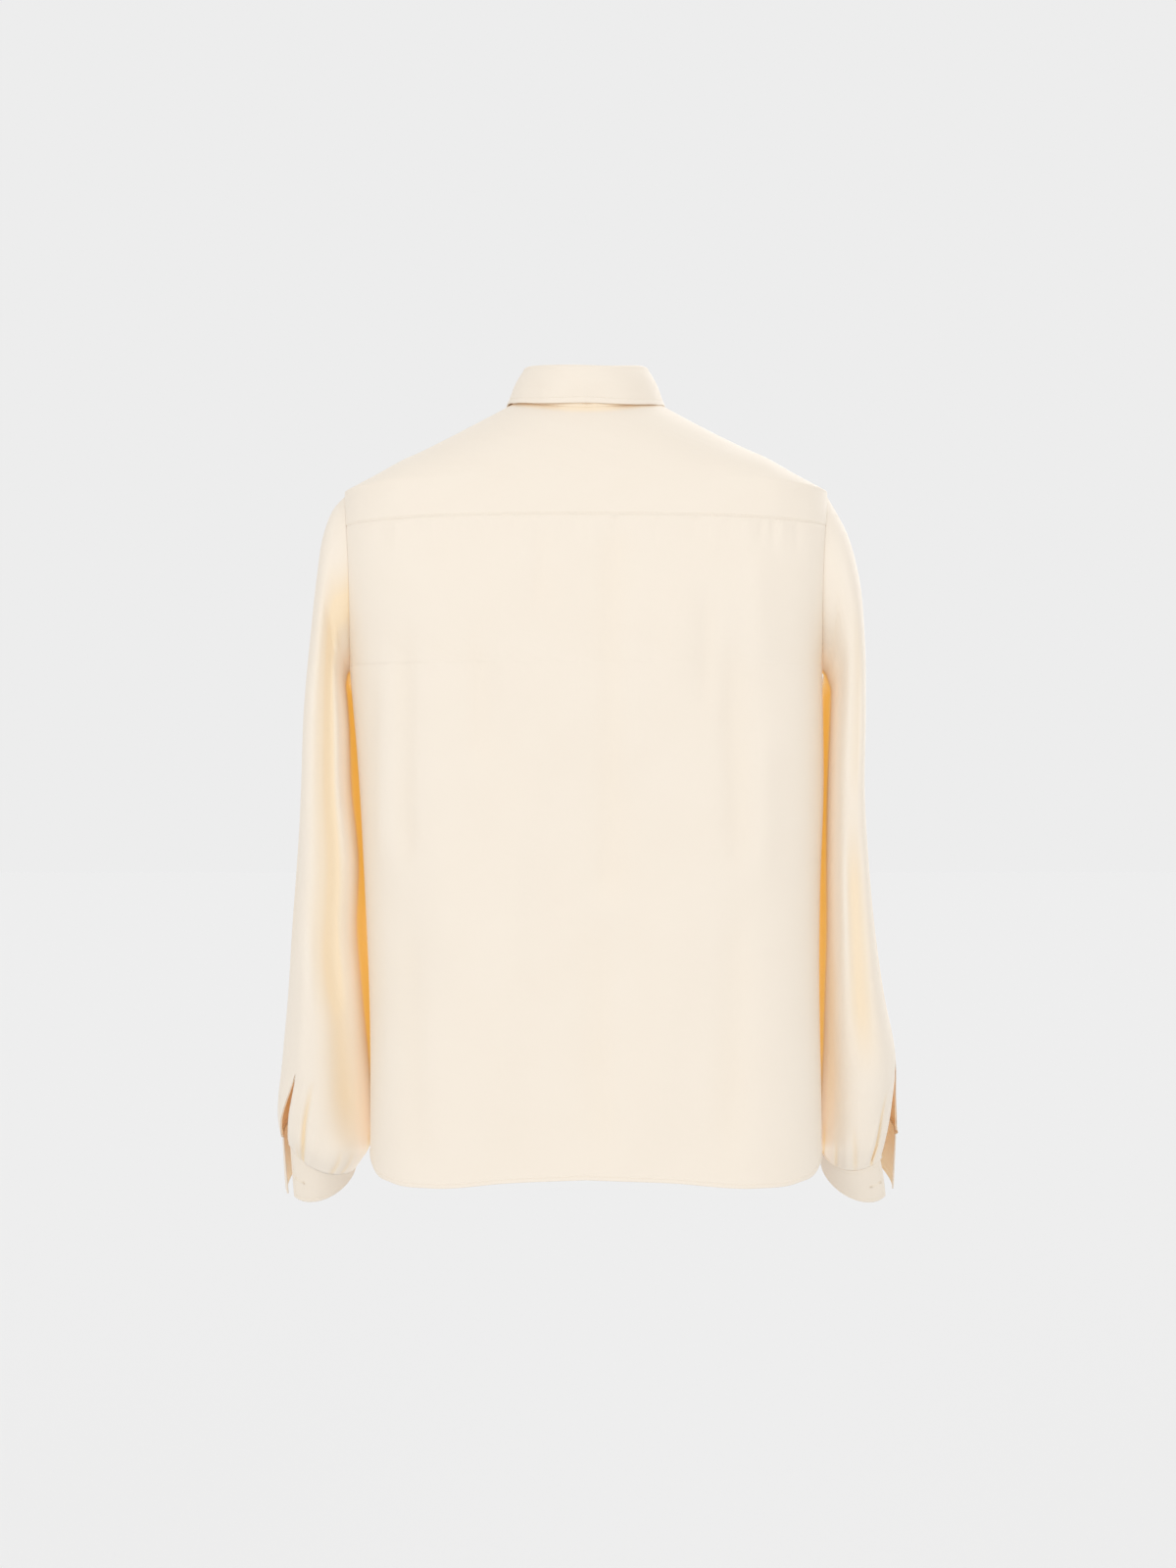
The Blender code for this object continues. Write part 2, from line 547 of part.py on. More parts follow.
def button(name, centre, normal, collection):
    """A round button that lies with its back on centre and faces along normal."""
    mesh = bpy.data.meshes.new(name)
    bm = bmesh.new()
    bmesh.ops.create_cone(bm, cap_ends=True, segments=12, radius1=BUTTON_DIAMETER / 2 * MM,
                          radius2=BUTTON_DIAMETER / 2 * MM, depth=BUTTON_THICK * MM)
    bm.to_mesh(mesh)
    bm.free()
    mesh.materials.append(material(SHELL))
    obj = bpy.data.objects.new(name, mesh)
    collection.objects.link(obj)
    facing = Vector(normal).normalized()
    place = Vector(centre) * MM + facing * (BUTTON_THICK / 2 * MM)
    obj.matrix_world = Matrix.Translation(place) @ facing.to_track_quat("Z", "Y").to_matrix().to_4x4()
    bevel = obj.modifiers.new("edge", "BEVEL")
    bevel.width = BUTTON_EDGE * MM
    bevel.segments = 1
    bevel.limit_method = "ANGLE"
    return obj


def seat_on(grid, point, inside, wall):
    """(place, normal) for a button on the outside of a grid, near point. inside is any point on its inner side."""
    flat = grid.reshape(-1, 3)
    rows, columns = grid.shape[:2]
    at = int(np.argmin(np.linalg.norm(flat - point, axis=1)))
    i, j = min(max(at // columns, 1), rows - 2), min(max(at % columns, 1), columns - 2)
    normal = np.cross(grid[i + 1, j] - grid[i - 1, j], grid[i, j + 1] - grid[i, j - 1])
    normal /= np.linalg.norm(normal)
    normal *= np.sign(normal @ (grid[i, j] - inside))
    on_surface = point - normal * ((point - grid[i, j]) @ normal)
    return on_surface + normal * (wall / 2 + BUTTON_GAP), normal


def make_buttons(fronts, stand, cuffs, collection):
    """The neck button, the front buttons and one on the front end of each cuff."""
    inside = np.array([0.0, 0.0, -300.0])
    for number in range(FRONT_BUTTONS):
        z = FIRST_BUTTON_Z - number * BUTTON_SPACING
        target = np.array([0.0, float(smooth(FRONT["z"], FRONT["depth"], z)), z])
        button(f"front_button_{number + 1}", *seat_on(fronts[RIGHT], target, inside, CLOTH), collection)
    target = (neckline(math.pi) + stand_top(math.pi)) / 2 - (0, STAND_CLEARANCE, 0)
    button("neck_button", *seat_on(stand[:, :STAND_LAP_COLUMNS], target, np.array([0.0, 0.0, target[2]]), COLLAR_CLOTH), collection)
    for side, name in ((LEFT, "left"), (RIGHT, "right")):
        ring = cuffs[side]
        centre = ring.mean(axis=(0, 1))
        target = (ring[1, -4] + ring[2, -4]) / 2
        button(f"{name}_cuff_button", *seat_on(ring, target, centre, COLLAR_CLOTH), collection)


def main():
    clear_scene()
    collection = bpy.data.collections.new("silk blouse")
    bpy.context.scene.collection.children.link(collection)
    fronts = {LEFT: front_panel(LEFT), RIGHT: front_panel(RIGHT)}
    sleeves = {LEFT: sleeve_panel(LEFT), RIGHT: sleeve_panel(RIGHT)}
    cuffs = {LEFT: cuff_panel(LEFT), RIGHT: cuff_panel(RIGHT)}
    stand = stand_panel()
    cloth("back", back_panel(), CLOTH, collection)
    cloth("yoke", yoke_panel(), CLOTH, collection)
    cloth("collar_stand", stand, COLLAR_CLOTH, collection)
    cloth("collar_fall", fall_panel(), COLLAR_CLOTH, collection)
    for side, name in ((LEFT, "left"), (RIGHT, "right")):
        cloth(f"{name}_front", fronts[side], CLOTH, collection)
        cloth(f"{name}_sleeve", sleeves[side], CLOTH, collection)
        cloth(f"{name}_cuff", cuffs[side], COLLAR_CLOTH, collection)
        cloth(f"{name}_placket", placket_panel(side, sleeves[side]), CLOTH, collection)
    make_buttons(fronts, stand, cuffs, collection)


main()
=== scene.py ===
"""Cream silk blouse, filled out with no wearer, hanging from the neck and shoulders.

The file follows the blouse as it is sewn: back, yoke, fronts, collar, sleeves, plackets, cuffs, buttons, stitches.
Sizes are in millimetres and are turned to metres where a mesh is made. The wearer faces -Y with +X on their left.
"""

import bmesh
import bpy
import numpy as np
from mathutils import Matrix, Vector


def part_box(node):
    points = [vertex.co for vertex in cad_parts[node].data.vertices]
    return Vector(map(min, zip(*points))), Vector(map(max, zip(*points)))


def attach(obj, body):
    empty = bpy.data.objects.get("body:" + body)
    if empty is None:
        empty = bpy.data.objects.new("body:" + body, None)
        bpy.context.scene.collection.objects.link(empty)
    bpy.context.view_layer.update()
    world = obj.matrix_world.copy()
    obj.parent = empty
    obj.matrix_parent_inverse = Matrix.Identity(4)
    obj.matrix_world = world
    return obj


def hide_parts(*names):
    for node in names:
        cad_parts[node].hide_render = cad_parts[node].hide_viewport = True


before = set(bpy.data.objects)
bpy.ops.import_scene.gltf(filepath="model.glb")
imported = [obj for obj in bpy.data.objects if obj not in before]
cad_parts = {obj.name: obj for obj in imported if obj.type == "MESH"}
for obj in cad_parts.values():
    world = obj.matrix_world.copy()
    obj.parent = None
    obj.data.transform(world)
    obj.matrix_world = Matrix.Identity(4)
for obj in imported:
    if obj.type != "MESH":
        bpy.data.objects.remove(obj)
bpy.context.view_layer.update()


# --- Back ----------------------------------------------------------------------------------------------------
# The back is one panel of silk crepe de chine from the hem to the yoke, with a little fullness gathered into the
# yoke seam. It falls in long soft folds, and its hem is a narrow double turn.

LEFT, RIGHT = 1, -1             # the wearer's sides, as the sign of x
TO_METRES = 0.001
SILK_WALL = 0.5
HEM_Z, UNDERARM_Z = -655.0, -228.0
YOKE_SEAM_Z, YOKE_EDGE_Z = -105.0, -109.0       # at the centre back, and at the armholes
SHOULDER_TIP = np.array([207.5, 0.0, -78.0])
NECK_POINT = np.array([63.0, 0.0, 0.5])
ARMHOLE_BOTTOM_X, ARMHOLE_HALF_DEPTH, ARMHOLE_HOLLOW = 203.0, 62.0, 5.0
SQUARE_BODY, SQUARE_NECK = 3.0, 2.0             # how boxy a section is, below the shoulders and at the neck
BACK_TIP_Z, BACK_NECK_Z = -70.0, -10.5
SIDE = {"z": (-228, -330, -420, -500, -600, -655),
        LEFT: (203.0, 195.5, 190.0, 187.0, 185.5, 185.0),
        RIGHT: (203.0, 204.0, 201.5, 201.0, 202.5, 203.0)}
BACK_DEPTH = {"z": (-655, -480, -330, -228, -160, -109, -75, -45, -24, -10.5),
              "y": (104, 109, 113, 114, 111, 105, 98, 87, 75, 64)}
HEM_DROP = {"across": (0, 0.35, 0.7, 0.88, 0.96, 1.0), "drop": (0, 3, 9, 7, 1, -10)}
HEM_SPAN, HEM_TURN, HEM_STEP = 110.0, 4.0, 0.45

# Long folds: where each runs at its top, middle and low end, its half-widths on either side of that line, how far
# it stands out, and the heights between which it shows.
FOLD = ("x", "wide", "out", "z", "fade")
BACK_FOLDS = [
    ((67, 66, 63), (13, 20), 2.6, (-112, -290), 60),
    ((50, 62, 78), (20, 17), 3.0, (-290, -655), 90),
    ((-38, -39, -36), (15, 12), 2.4, (-150, -350), 60),
    ((-79, -77, -72), (12, 17), 2.2, (-128, -260), 45),
    ((-143, -142, -146), (10, 14), 2.2, (-118, -250), 40),
    ((-148, -147, -150), (11, 13), 2.4, (-265, -430), 60),
    ((166, 168, 170), (9, 13), 2.2, (-215, -420), 60),
    ((110, 112, 108), (22, 18), 2.6, (-350, -520), 70),
    ((-70, -66, -58), (24, 20), 2.4, (-380, -660), 90),
    ((-20, -22, -18), (12, 17), -3.2, (-98, -440), 40),
    ((-10, -14, -18), (17, 12), -2.6, (-410, -670), 80),
    ((151, 153, 150), (12, 10), -3.0, (-180, -420), 60),
    ((148, 146, 140), (16, 12), -2.2, (-400, -670), 80),
    ((-122, -124, -128), (11, 14), -3.0, (-190, -420), 60),
    ((-126, -124, -118), (16, 13), -2.6, (-400, -670), 70),
    ((-99, -100, -99), (9, 9), -1.8, (-150, -290), 50),
    ((87, 88, 86), (9, 12), -2.0, (-180, -330), 50),
    ((39, 38, 42), (8, 12), -1.8, (-100, -200), 35),
]
# Gathers just below the yoke: place, half-width, how far each stands out and its length.
GATHER = ("x", "wide", "out", "length")
BACK_GATHERS = [
    (171, 4.0, -0.7, 34), (158, 3.5, 0.8, 50), (141, 4.0, -0.8, 28), (127, 3.0, 0.7, 42), (112, 4.5, -0.9, 58),
    (96, 3.0, 0.7, 26), (84, 3.5, -0.8, 44), (61, 3.0, -0.7, 30), (48, 4.0, 0.9, 52), (25, 3.0, 0.7, 34),
    (9, 3.5, -0.8, 46), (-8, 3.0, 0.8, 28), (-24, 4.0, -1.5, 66), (-43, 3.0, 0.8, 36), (-58, 3.5, -0.8, 48),
    (-71, 3.0, 0.6, 24), (-90, 4.0, -0.9, 40), (-106, 3.0, 0.8, 54), (-119, 3.5, -0.8, 30), (-134, 3.0, 0.9, 46),
    (-146, 2.5, -1.5, 30), (-156, 2.5, -1.7, 38), (-163, 3.0, 1.2, 34), (-176, 3.0, -1.4, 40),
]


def cubic(xs, ys, at):
    """A cubic through the points (xs, ys), whose slope at each point is that of its neighbours' chord."""
    order = np.argsort(xs)
    xs, ys = np.array(xs, float)[order], np.array(ys, float)[order]
    slope = np.gradient(ys, xs)
    at = np.clip(at, xs[0], xs[-1])
    i = np.clip(np.searchsorted(xs, at) - 1, 0, len(xs) - 2)
    h = xs[i + 1] - xs[i]
    t = (at - xs[i]) / h
    return ((1 + 2 * t) * (1 - t) ** 2 * ys[i] + t * (1 - t) ** 2 * h * slope[i]
            + t * t * (3 - 2 * t) * ys[i + 1] - t * t * (1 - t) * h * slope[i + 1])


def ease(value, start, end):
    """0 at start and 1 at end, along 3t^2 - 2t^3, which has no corner at either."""
    t = np.clip((value - start) / (end - start), 0, 1)
    return t * t * (3 - 2 * t)


def knots(length, step, first=(), last=()):
    """Distances from 0 to length: the first ones as given, then about a step apart, then close to the end again."""
    first, last = np.array((0.0, *first)), length - np.array((*last, 0.0))
    count = max(2, int(round((last[0] - first[-1]) / step)))
    return np.concatenate([first, np.linspace(first[-1], last[0], count + 1)[1:-1], last])


def lengths(lines):
    """The distance along each line to each of its points."""
    step = np.linalg.norm(np.diff(lines, axis=-2), axis=-1)
    return np.concatenate([np.zeros(step.shape[:-1] + (1,)), np.cumsum(step, axis=-1)], axis=-1)


def points_along(lines, distances):
    """The points at these distances along each line. The lines are laid end to end for one interpolation."""
    shift = 1e4 * np.arange(len(lines))[:, None]
    at, known = (distances + shift).ravel(), (lengths(lines) + shift).ravel()
    found = [np.interp(at, known, lines[..., k].ravel()) for k in range(3)]
    return np.stack(found, axis=-1).reshape(distances.shape + (3,))


def armhole(angle):
    """The left armhole: an oval in side view, 0 at the shoulder tip and positive towards the back, hollowed in x."""
    rise = (SHOULDER_TIP[2] - UNDERARM_Z) / 2
    middle, half = (SHOULDER_TIP[0] + ARMHOLE_BOTTOM_X) / 2, (SHOULDER_TIP[0] - ARMHOLE_BOTTOM_X) / 2
    return np.stack([middle + half * np.cos(angle) - ARMHOLE_HOLLOW * np.sin(angle) ** 2,
                     ARMHOLE_HALF_DEPTH * np.sin(angle),
                     UNDERARM_Z + rise * (1 + np.cos(angle))], axis=-1)


def half_sections(mid_z, edge, depth, square):
    """Half sections of the torso, from the centre line to the edge points. In plan each is an arc of the
    superellipse |x/w|^n + |y/d|^n = 1, and its height eases to the edge's with the square of the sine."""
    end = np.arccos(np.clip(edge[:, 1] / depth, 0, 1) ** (square / 2))[:, None]
    power = 2 / square[:, None]
    angle = np.linspace(0, 1, 300) * end
    x = edge[:, :1] * (np.sin(angle) / np.sin(end)) ** power
    y = depth[:, None] * np.clip(np.cos(angle), 0, 1) ** power
    z = mid_z[:, None] + (edge[:, 2] - mid_z)[:, None] * (np.sin(angle) / np.sin(end)) ** 2
    return np.stack([x, y, z], axis=-1)


def squareness(mid_z, tip_z, neck_z):
    return SQUARE_BODY + (SQUARE_NECK - SQUARE_BODY) * ease(mid_z, tip_z, neck_z)


def side_edges(side, z):
    return np.stack([cubic(SIDE["z"], SIDE[side], z), 0 * z, z], axis=-1)


def full_rows(mid_z, edges, shares):
    """Rows right across the back, from the right edge to the left one, at shares of each half's length."""
    depth, square = cubic(BACK_DEPTH["z"], BACK_DEPTH["y"], mid_z), squareness(mid_z, BACK_TIP_Z, BACK_NECK_Z)
    halves = {}
    for side in (RIGHT, LEFT):
        lines = half_sections(mid_z, edges[side], depth, square)
        halves[side] = points_along(lines, shares * lengths(lines)[:, -1:]) * (side, 1, 1)
    return np.concatenate([halves[RIGHT][:, ::-1], halves[LEFT][:, 1:]], axis=1)


def facing(grid, away):
    """Unit normals at the points of a grid, on the side that away points to."""
    normal = np.cross(np.gradient(grid, axis=1), np.gradient(grid, axis=0))
    normal /= np.linalg.norm(normal, axis=-1, keepdims=True) + 1e-12
    return normal * np.sign((normal * away).sum())


def folds(table, across, height):
    """How far soft folds stand out at points across and up a piece. Each is a bell, uneven across its line, and
    fades at both its ends."""
    out = np.zeros(across.shape)
    for row in table:
        fold = dict(zip(FOLD, row))
        top, low = fold["z"]
        line = cubic((low, (low + top) / 2, top), fold["x"][::-1], height)
        wide = np.where(across > line, fold["wide"][0], fold["wide"][1])
        ends = ease(height, top, top - fold["fade"]) * ease(height, low, low + fold["fade"])
        out += fold["out"] * ends * np.exp(-((across - line) / wide) ** 2)
    return out


def gathers(table, across, down):
    """How far small gathers stand out: bells that widen and fade with the distance down from their seam."""
    out = np.zeros(across.shape)
    for row in table:
        fold = dict(zip(GATHER, row))
        share = np.clip(down / fold["length"], 0, 1)
        wide = fold["wide"] * (1 + 0.8 * share)
        out += fold["out"] * (1 - share) ** 2 * (1 + 2 * share) * np.exp(-((across - fold["x"]) / wide) ** 2)
    return out


def slack(across, height, size):
    """Broad uneven waves of loose silk: three crossing sine waves 70 to 230 mm long."""
    return size * (0.5 * np.sin(across / 17 + height / 130 + 1.3) * np.sin(height / 61 + across / 140)
                   + 0.35 * np.sin(across / 29 - height / 88 + 0.4) + 0.3 * np.sin(height / 37 + across / 45 + 2.1))


def ditch(distance, wide=1.6, deep=0.22):
    """A seam draws both its pieces in: a bell-shaped dip along an edge."""
    return -deep * np.exp(-(distance / wide) ** 2)


def hem_drop(x, z):
    """How much lower than its row a point near the hem is."""
    half = np.where(x > 0, SIDE[LEFT][-1], SIDE[RIGHT][-1])
    return cubic(HEM_DROP["across"], HEM_DROP["drop"], np.abs(x) / half) * ease(z, HEM_Z + HEM_SPAN, HEM_Z)


def srgb(code):
    """Linear colour from an sRGB hex code."""
    part = np.array([int(code[i:i + 2], 16) for i in (0, 2, 4)]) / 255
    return (*np.where(part <= 0.04045, part / 12.92, ((part + 0.055) / 1.055) ** 2.4), 1.0)


def add(tree, kind, inputs=None, **settings):
    """Adds a node with its settings, and gives each input a value or links it to an output."""
    new = tree.nodes.new(kind)
    for key, value in settings.items():
        setattr(new, key, value)
    for key, value in (inputs or {}).items():
        if isinstance(value, bpy.types.NodeSocket):
            tree.links.new(value, new.inputs[key])
        else:
            new.inputs[key].default_value = value
    return new


def material(name):
    """A new material, its node tree and its Principled shader."""
    made = bpy.data.materials.new(name)
    made.use_nodes = True
    return made, made.node_tree, made.node_tree.nodes["Principled BSDF"]


def mixed(tree, factor, a, b):
    """The colour from a to b at a factor."""
    return add(tree, "ShaderNodeMix", {"Factor": factor, "A": a, "B": b}, data_type="RGBA").outputs["Result"]


PALE_LIGHT = "F2E6DA"           # colour of painted light, standing for light that comes through one layer of cream silk


def silk(name, plain, shaded, through, strength, always):
    """Silk crepe de chine: twisted yarns give it a fine pebbled grain and a dull sheen. Painted shade: an attribute
    of a piece tints it warmer and darker where it lies in a fold or behind another layer. Painted light: the glow of
    cloth lit from behind is strength times that attribute to the fourth power, plus the glow attribute and a
    constant.
    The yarns are 0.15 mm apart, too fine to show, so the grain is drawn at about 0.9 mm."""
    made, tree, shader = material(name)
    uv = add(tree, "ShaderNodeUVMap", uv_map="cloth").outputs["UV"]
    painted_warm_shade = add(tree, "ShaderNodeAttribute", attribute_name="painted_warm_shade").outputs["Fac"]
    blotch = add(tree, "ShaderNodeTexNoise", {"Vector": uv, "Scale": 16.0, "Detail": 2.0}).outputs["Fac"]
    colour = mixed(tree, painted_warm_shade, mixed(tree, blotch, srgb(plain[0]), srgb(plain[1])), srgb(shaded))
    grain = add(tree, "ShaderNodeTexNoise", {"Vector": uv, "Scale": 1100.0, "Detail": 3.0}).outputs["Fac"]
    crumple = add(tree, "ShaderNodeTexNoise", {"Vector": uv, "Scale": 34.0, "Detail": 3.0}).outputs["Fac"]
    fine = add(tree, "ShaderNodeBump", {"Height": grain, "Strength": 0.25, "Distance": 0.0002})
    soft = add(tree, "ShaderNodeBump", {"Height": crumple, "Strength": 0.35, "Distance": 0.0012,
                                        "Normal": fine.outputs["Normal"]})
    glow = add(tree, "ShaderNodeAttribute", attribute_name="glow").outputs["Fac"]
    light = mixed(tree, painted_warm_shade, srgb(PALE_LIGHT), srgb(through))
    deep = add(tree, "ShaderNodeMath", {0: painted_warm_shade, 1: 4.0}, operation="POWER").outputs["Value"]
    soft_light = add(tree, "ShaderNodeMath", {0: glow, 1: always}, operation="ADD").outputs["Value"]
    lit = add(tree, "ShaderNodeMath", {0: deep, 1: strength, 2: soft_light}, operation="MULTIPLY_ADD")
    tree.links.new(colour, shader.inputs["Base Color"])
    tree.links.new(soft.outputs["Normal"], shader.inputs["Normal"])
    tree.links.new(lit.outputs["Value"], shader.inputs["Emission Strength"])
    tree.links.new(light, shader.inputs["Emission Color"])
    shader.inputs["Roughness"].default_value = 0.5
    shader.inputs["Specular IOR Level"].default_value = 0.35
    shader.inputs["Sheen Weight"].default_value = 0.2
    shader.inputs["Sheen Roughness"].default_value = 0.45
    shader.inputs["Sheen Tint"].default_value = srgb("FFF6E8")
    return made


# Both finishes carry painted shade and painted light. The inner side's copy has a warmer base and a faint painted
# glow everywhere, standing for light bounced and let through inside the blouse.
silk_outside = silk("silk crepe de chine", ("EFE5D7", "EDE2D3"), "F0D6AC", "F1D05C", 0.28, 0.0)
silk_inside_painted_warm = silk("silk crepe de chine inside, painted warm shade", ("EFDBB6", "EDD7B0"), "EBC890", "F1D05C", 0.20, 0.05)


def cloth(name, grid, away, wall, nodes, painted_warm_shade=0.0, glow=0.0):
    """A piece of cloth: quads between the rows and columns of a grid, a UV map that measures it in metres, and
    Solidify for its wall. Its outside faces the way away points; its inner side has the copy with warmer painted
    shade.
    Its two attributes are its painted warm shade and glow. Its flat size is its longest row by its longest column."""
    rows, columns = grid.shape[:2]
    number = np.arange(rows * columns).reshape(rows, columns)
    quads = np.stack([number[:-1, :-1], number[:-1, 1:], number[1:, 1:], number[1:, :-1]], axis=-1).reshape(-1, 4)
    normal = np.cross(np.gradient(grid, axis=1), np.gradient(grid, axis=0))
    if (normal * away).sum() < 0:
        quads = quads[:, ::-1]
    mesh = bpy.data.meshes.new(name)
    mesh.from_pydata((grid.reshape(-1, 3) * TO_METRES).tolist(), [], quads.tolist())
    measured = np.stack([lengths(grid), lengths(grid.transpose(1, 0, 2)).T], axis=-1).reshape(-1, 2) * TO_METRES
    mesh.uv_layers.new(name="cloth").data.foreach_set("uv", measured[quads.ravel()].ravel())
    for attribute, values in (("painted_warm_shade", painted_warm_shade), ("glow", glow)):
        mesh.attributes.new(attribute, "FLOAT", "POINT").data.foreach_set(
            "value", (np.zeros((rows, columns)) + values).ravel())
    bm = bmesh.new()
    bm.from_mesh(mesh)
    bmesh.ops.remove_doubles(bm, verts=bm.verts, dist=0.02 * TO_METRES)
    bm.to_mesh(mesh)
    bm.free()
    mesh.shade_smooth()
    for finish in (silk_outside, silk_inside_painted_warm):
        mesh.materials.append(finish)
    piece = bpy.data.objects.new(name, mesh)
    bpy.context.scene.collection.objects.link(piece)
    solidify = piece.modifiers.new("wall", "SOLIDIFY")
    solidify.thickness = wall * TO_METRES
    solidify.offset = 0
    solidify.material_offset = 1
    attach(piece, "root")
    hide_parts(*nodes)
    size = lengths(grid)[:, -1].max() * TO_METRES, lengths(grid.transpose(1, 0, 2))[:, -1].max() * TO_METRES
    return piece


TORSO_MIDDLE = np.array([0.0, 0.0, -300.0])
half_shares = knots(210.0, 2.5, (), (5.0, 3.5, 2.2, 1.2, 0.5)) / 210.0
seam_rise = (SHOULDER_TIP[2] - UNDERARM_Z) / 2
yoke_angle = float(np.arccos((YOKE_EDGE_Z - UNDERARM_Z) / seam_rise - 1))

hem_up = knots(UNDERARM_Z - HEM_Z, 4.0, (0.5, 1.2, 2.4, 3.4, 3.8, 4.3, 5.2, 7.0, 10.0))
under_z = HEM_Z + hem_up
arm_angle = yoke_angle + knots(np.pi - yoke_angle, 0.045, (0.006, 0.014, 0.026, 0.045, 0.07), (0.3, 0.2))[::-1][1:]
arm_edge = armhole(arm_angle)
arm_share = (arm_edge[:, 2] - UNDERARM_Z) / (YOKE_EDGE_Z - UNDERARM_Z)
arm_mid = arm_edge[:, 2] + (YOKE_SEAM_Z - YOKE_EDGE_Z) * arm_share
back_edges = {side: np.concatenate([side_edges(side, under_z), arm_edge]) for side in (LEFT, RIGHT)}
back_form = full_rows(np.concatenate([under_z, arm_mid]), back_edges, half_shares)

x, z = back_form[..., 0], back_form[..., 2]
from_hem = lengths(back_form.transpose(1, 0, 2)).T
from_yoke = from_hem[-1] - from_hem
from_edge = np.minimum(lengths(back_form), lengths(back_form)[:, -1:] - lengths(back_form))
clear = ease(from_edge, 0, 26)
back_folds = folds(BACK_FOLDS, x, z) * clear
out = back_folds + slack(x, z, 0.8) * clear + gathers(BACK_GATHERS, x, from_yoke)
out = out * ease(from_yoke, 0, 3) + ditch(from_yoke) + ditch(from_edge)
out += HEM_STEP * ease(from_hem, HEM_TURN + 0.4, HEM_TURN - 0.2)
back_grid = back_form + facing(back_form, back_form - TORSO_MIDDLE) * out[..., None]
back_grid[..., 2] -= hem_drop(x, z)
# Painted shade: the troughs of the folds and a strip down each side edge beside the sleeve are tinted darker and
# warmer and glow, in place of the shade and bounced light there.
sleeve_gap_shade = ease(from_edge, 6, 0) * ease(z, -200, -235) * (0.4 + 0.6 * ease(z, -655, -560))
back_painted_shade = np.clip(-back_folds / 80, 0, 1) + 0.7 * sleeve_gap_shade
cloth("silk_back", back_grid, back_grid - TORSO_MIDDLE, SILK_WALL, ["back"], np.clip(back_painted_shade, 0, 1))


# --- Yoke ----------------------------------------------------------------------------------------------------
# The yoke is a flat panel over the shoulder blades, from the back's gathered edge up to the shoulder seams and
# the neckline. It lies smooth, and its lower edge is pressed down over the back and stitched.

YOKE_FOLDS = [
    ((150, 158, 168), (14, 10), 1.2, (-30, -112), 30),
    ((-146, -156, -164), (12, 14), 1.4, (-30, -112), 30),
    ((96, 104, 118), (16, 12), -1.0, (-20, -100), 30),
    ((-90, -104, -116), (14, 16), -1.2, (-20, -100), 30),
    ((30, 18, 8), (22, 26), 0.8, (-20, -108), 30),
]

arm_part = knots(yoke_angle, 0.05, (0.006, 0.014, 0.026, 0.045, 0.07)) / yoke_angle
shoulder_part = knots(1.0, 0.025, (), (0.012, 0.005))[1:]
yoke_mid = np.concatenate([YOKE_SEAM_Z + arm_part * (BACK_TIP_Z - YOKE_SEAM_Z),
                           BACK_TIP_Z + shoulder_part * (BACK_NECK_Z - BACK_TIP_Z)])
yoke_edge = np.concatenate([armhole(yoke_angle * (1 - arm_part)),
                            SHOULDER_TIP + shoulder_part[:, None] * (NECK_POINT - SHOULDER_TIP)])
yoke_form = full_rows(yoke_mid, {LEFT: yoke_edge, RIGHT: yoke_edge}, half_shares)
x, z = yoke_form[..., 0], yoke_form[..., 2]
from_seam = lengths(yoke_form.transpose(1, 0, 2)).T
from_edge = np.minimum(lengths(yoke_form), lengths(yoke_form)[:, -1:] - lengths(yoke_form))
clear = ease(from_edge, 0, 16) * ease(from_seam, 0, 12) * ease(from_seam[-1] - from_seam, 0, 12)
out = (folds(YOKE_FOLDS, x, z) + slack(x, z, 0.5)) * clear
out += ditch(from_seam, 1.0, 0.3) + ditch(from_edge)
out += 0.2 * ease(from_seam, 0.3, 1.2)
yoke_grid = yoke_form + facing(yoke_form, yoke_form - TORSO_MIDDLE) * out[..., None]
to_neck = from_seam[-1] - from_seam
# Painted shade and painted light: a warm dark line with a faint glow along the back neckline, under the collar's
# fall.
collar_shade_mask = ease(np.abs(x), 80, 66)
cloth("silk_yoke", yoke_grid, yoke_grid - TORSO_MIDDLE, SILK_WALL, ["yoke"],
      0.4 * ease(to_neck, 9, 3) * collar_shade_mask, 0.06 * ease(to_neck, 8, 3) * collar_shade_mask)


# --- Fronts --------------------------------------------------------------------------------------------------
# Two plain fronts button down the middle, the wearer's right over their left. Each has its front edge folded
# back into a band 30 mm wide that is stitched along both sides, and hangs in the same soft folds as the back.

FRONT_TIP_Z, FRONT_NECK_Z = -118.0, -55.0
FRONT_DEPTH = {"z": (-655, -400, -280, -228, -160, -118, -80, -55),
               "y": (-100, -105, -107, -104, -93, -82, -67, -51)}
LAP, LAP_CLEARANCE, LAP_FADE = 15.0, 0.95, (22.0, 70.0)
BAND, BAND_STEP = 30.0, 0.4
FRONT_FOLDS = {
    LEFT: [((60, 66, 72), (14, 20), 2.6, (-150, -440), 80), ((96, 104, 112), (12, 16), -3.0, (-130, -520), 90),
           ((136, 140, 146), (12, 18), 2.8, (-190, -650), 90), ((84, 80, 84), (18, 13), -2.4, (-420, -670), 80),
           ((48, 46, 50), (10, 14), -2.0, (-300, -660), 90), ((164, 160, 158), (10, 12), -2.6, (-210, -480), 60)],
    RIGHT: [((54, 60, 58), (16, 12), -2.4, (-140, -400), 80), ((80, 88, 98), (12, 18), 2.8, (-140, -560), 90),
            ((118, 124, 120), (16, 12), -3.0, (-170, -470), 80), ((150, 154, 150), (12, 10), 2.4, (-220, -600), 80),
            ((112, 106, 100), (20, 14), -2.4, (-450, -670), 80), ((46, 48, 44), (12, 16), 2.0, (-400, -670), 80)],
}

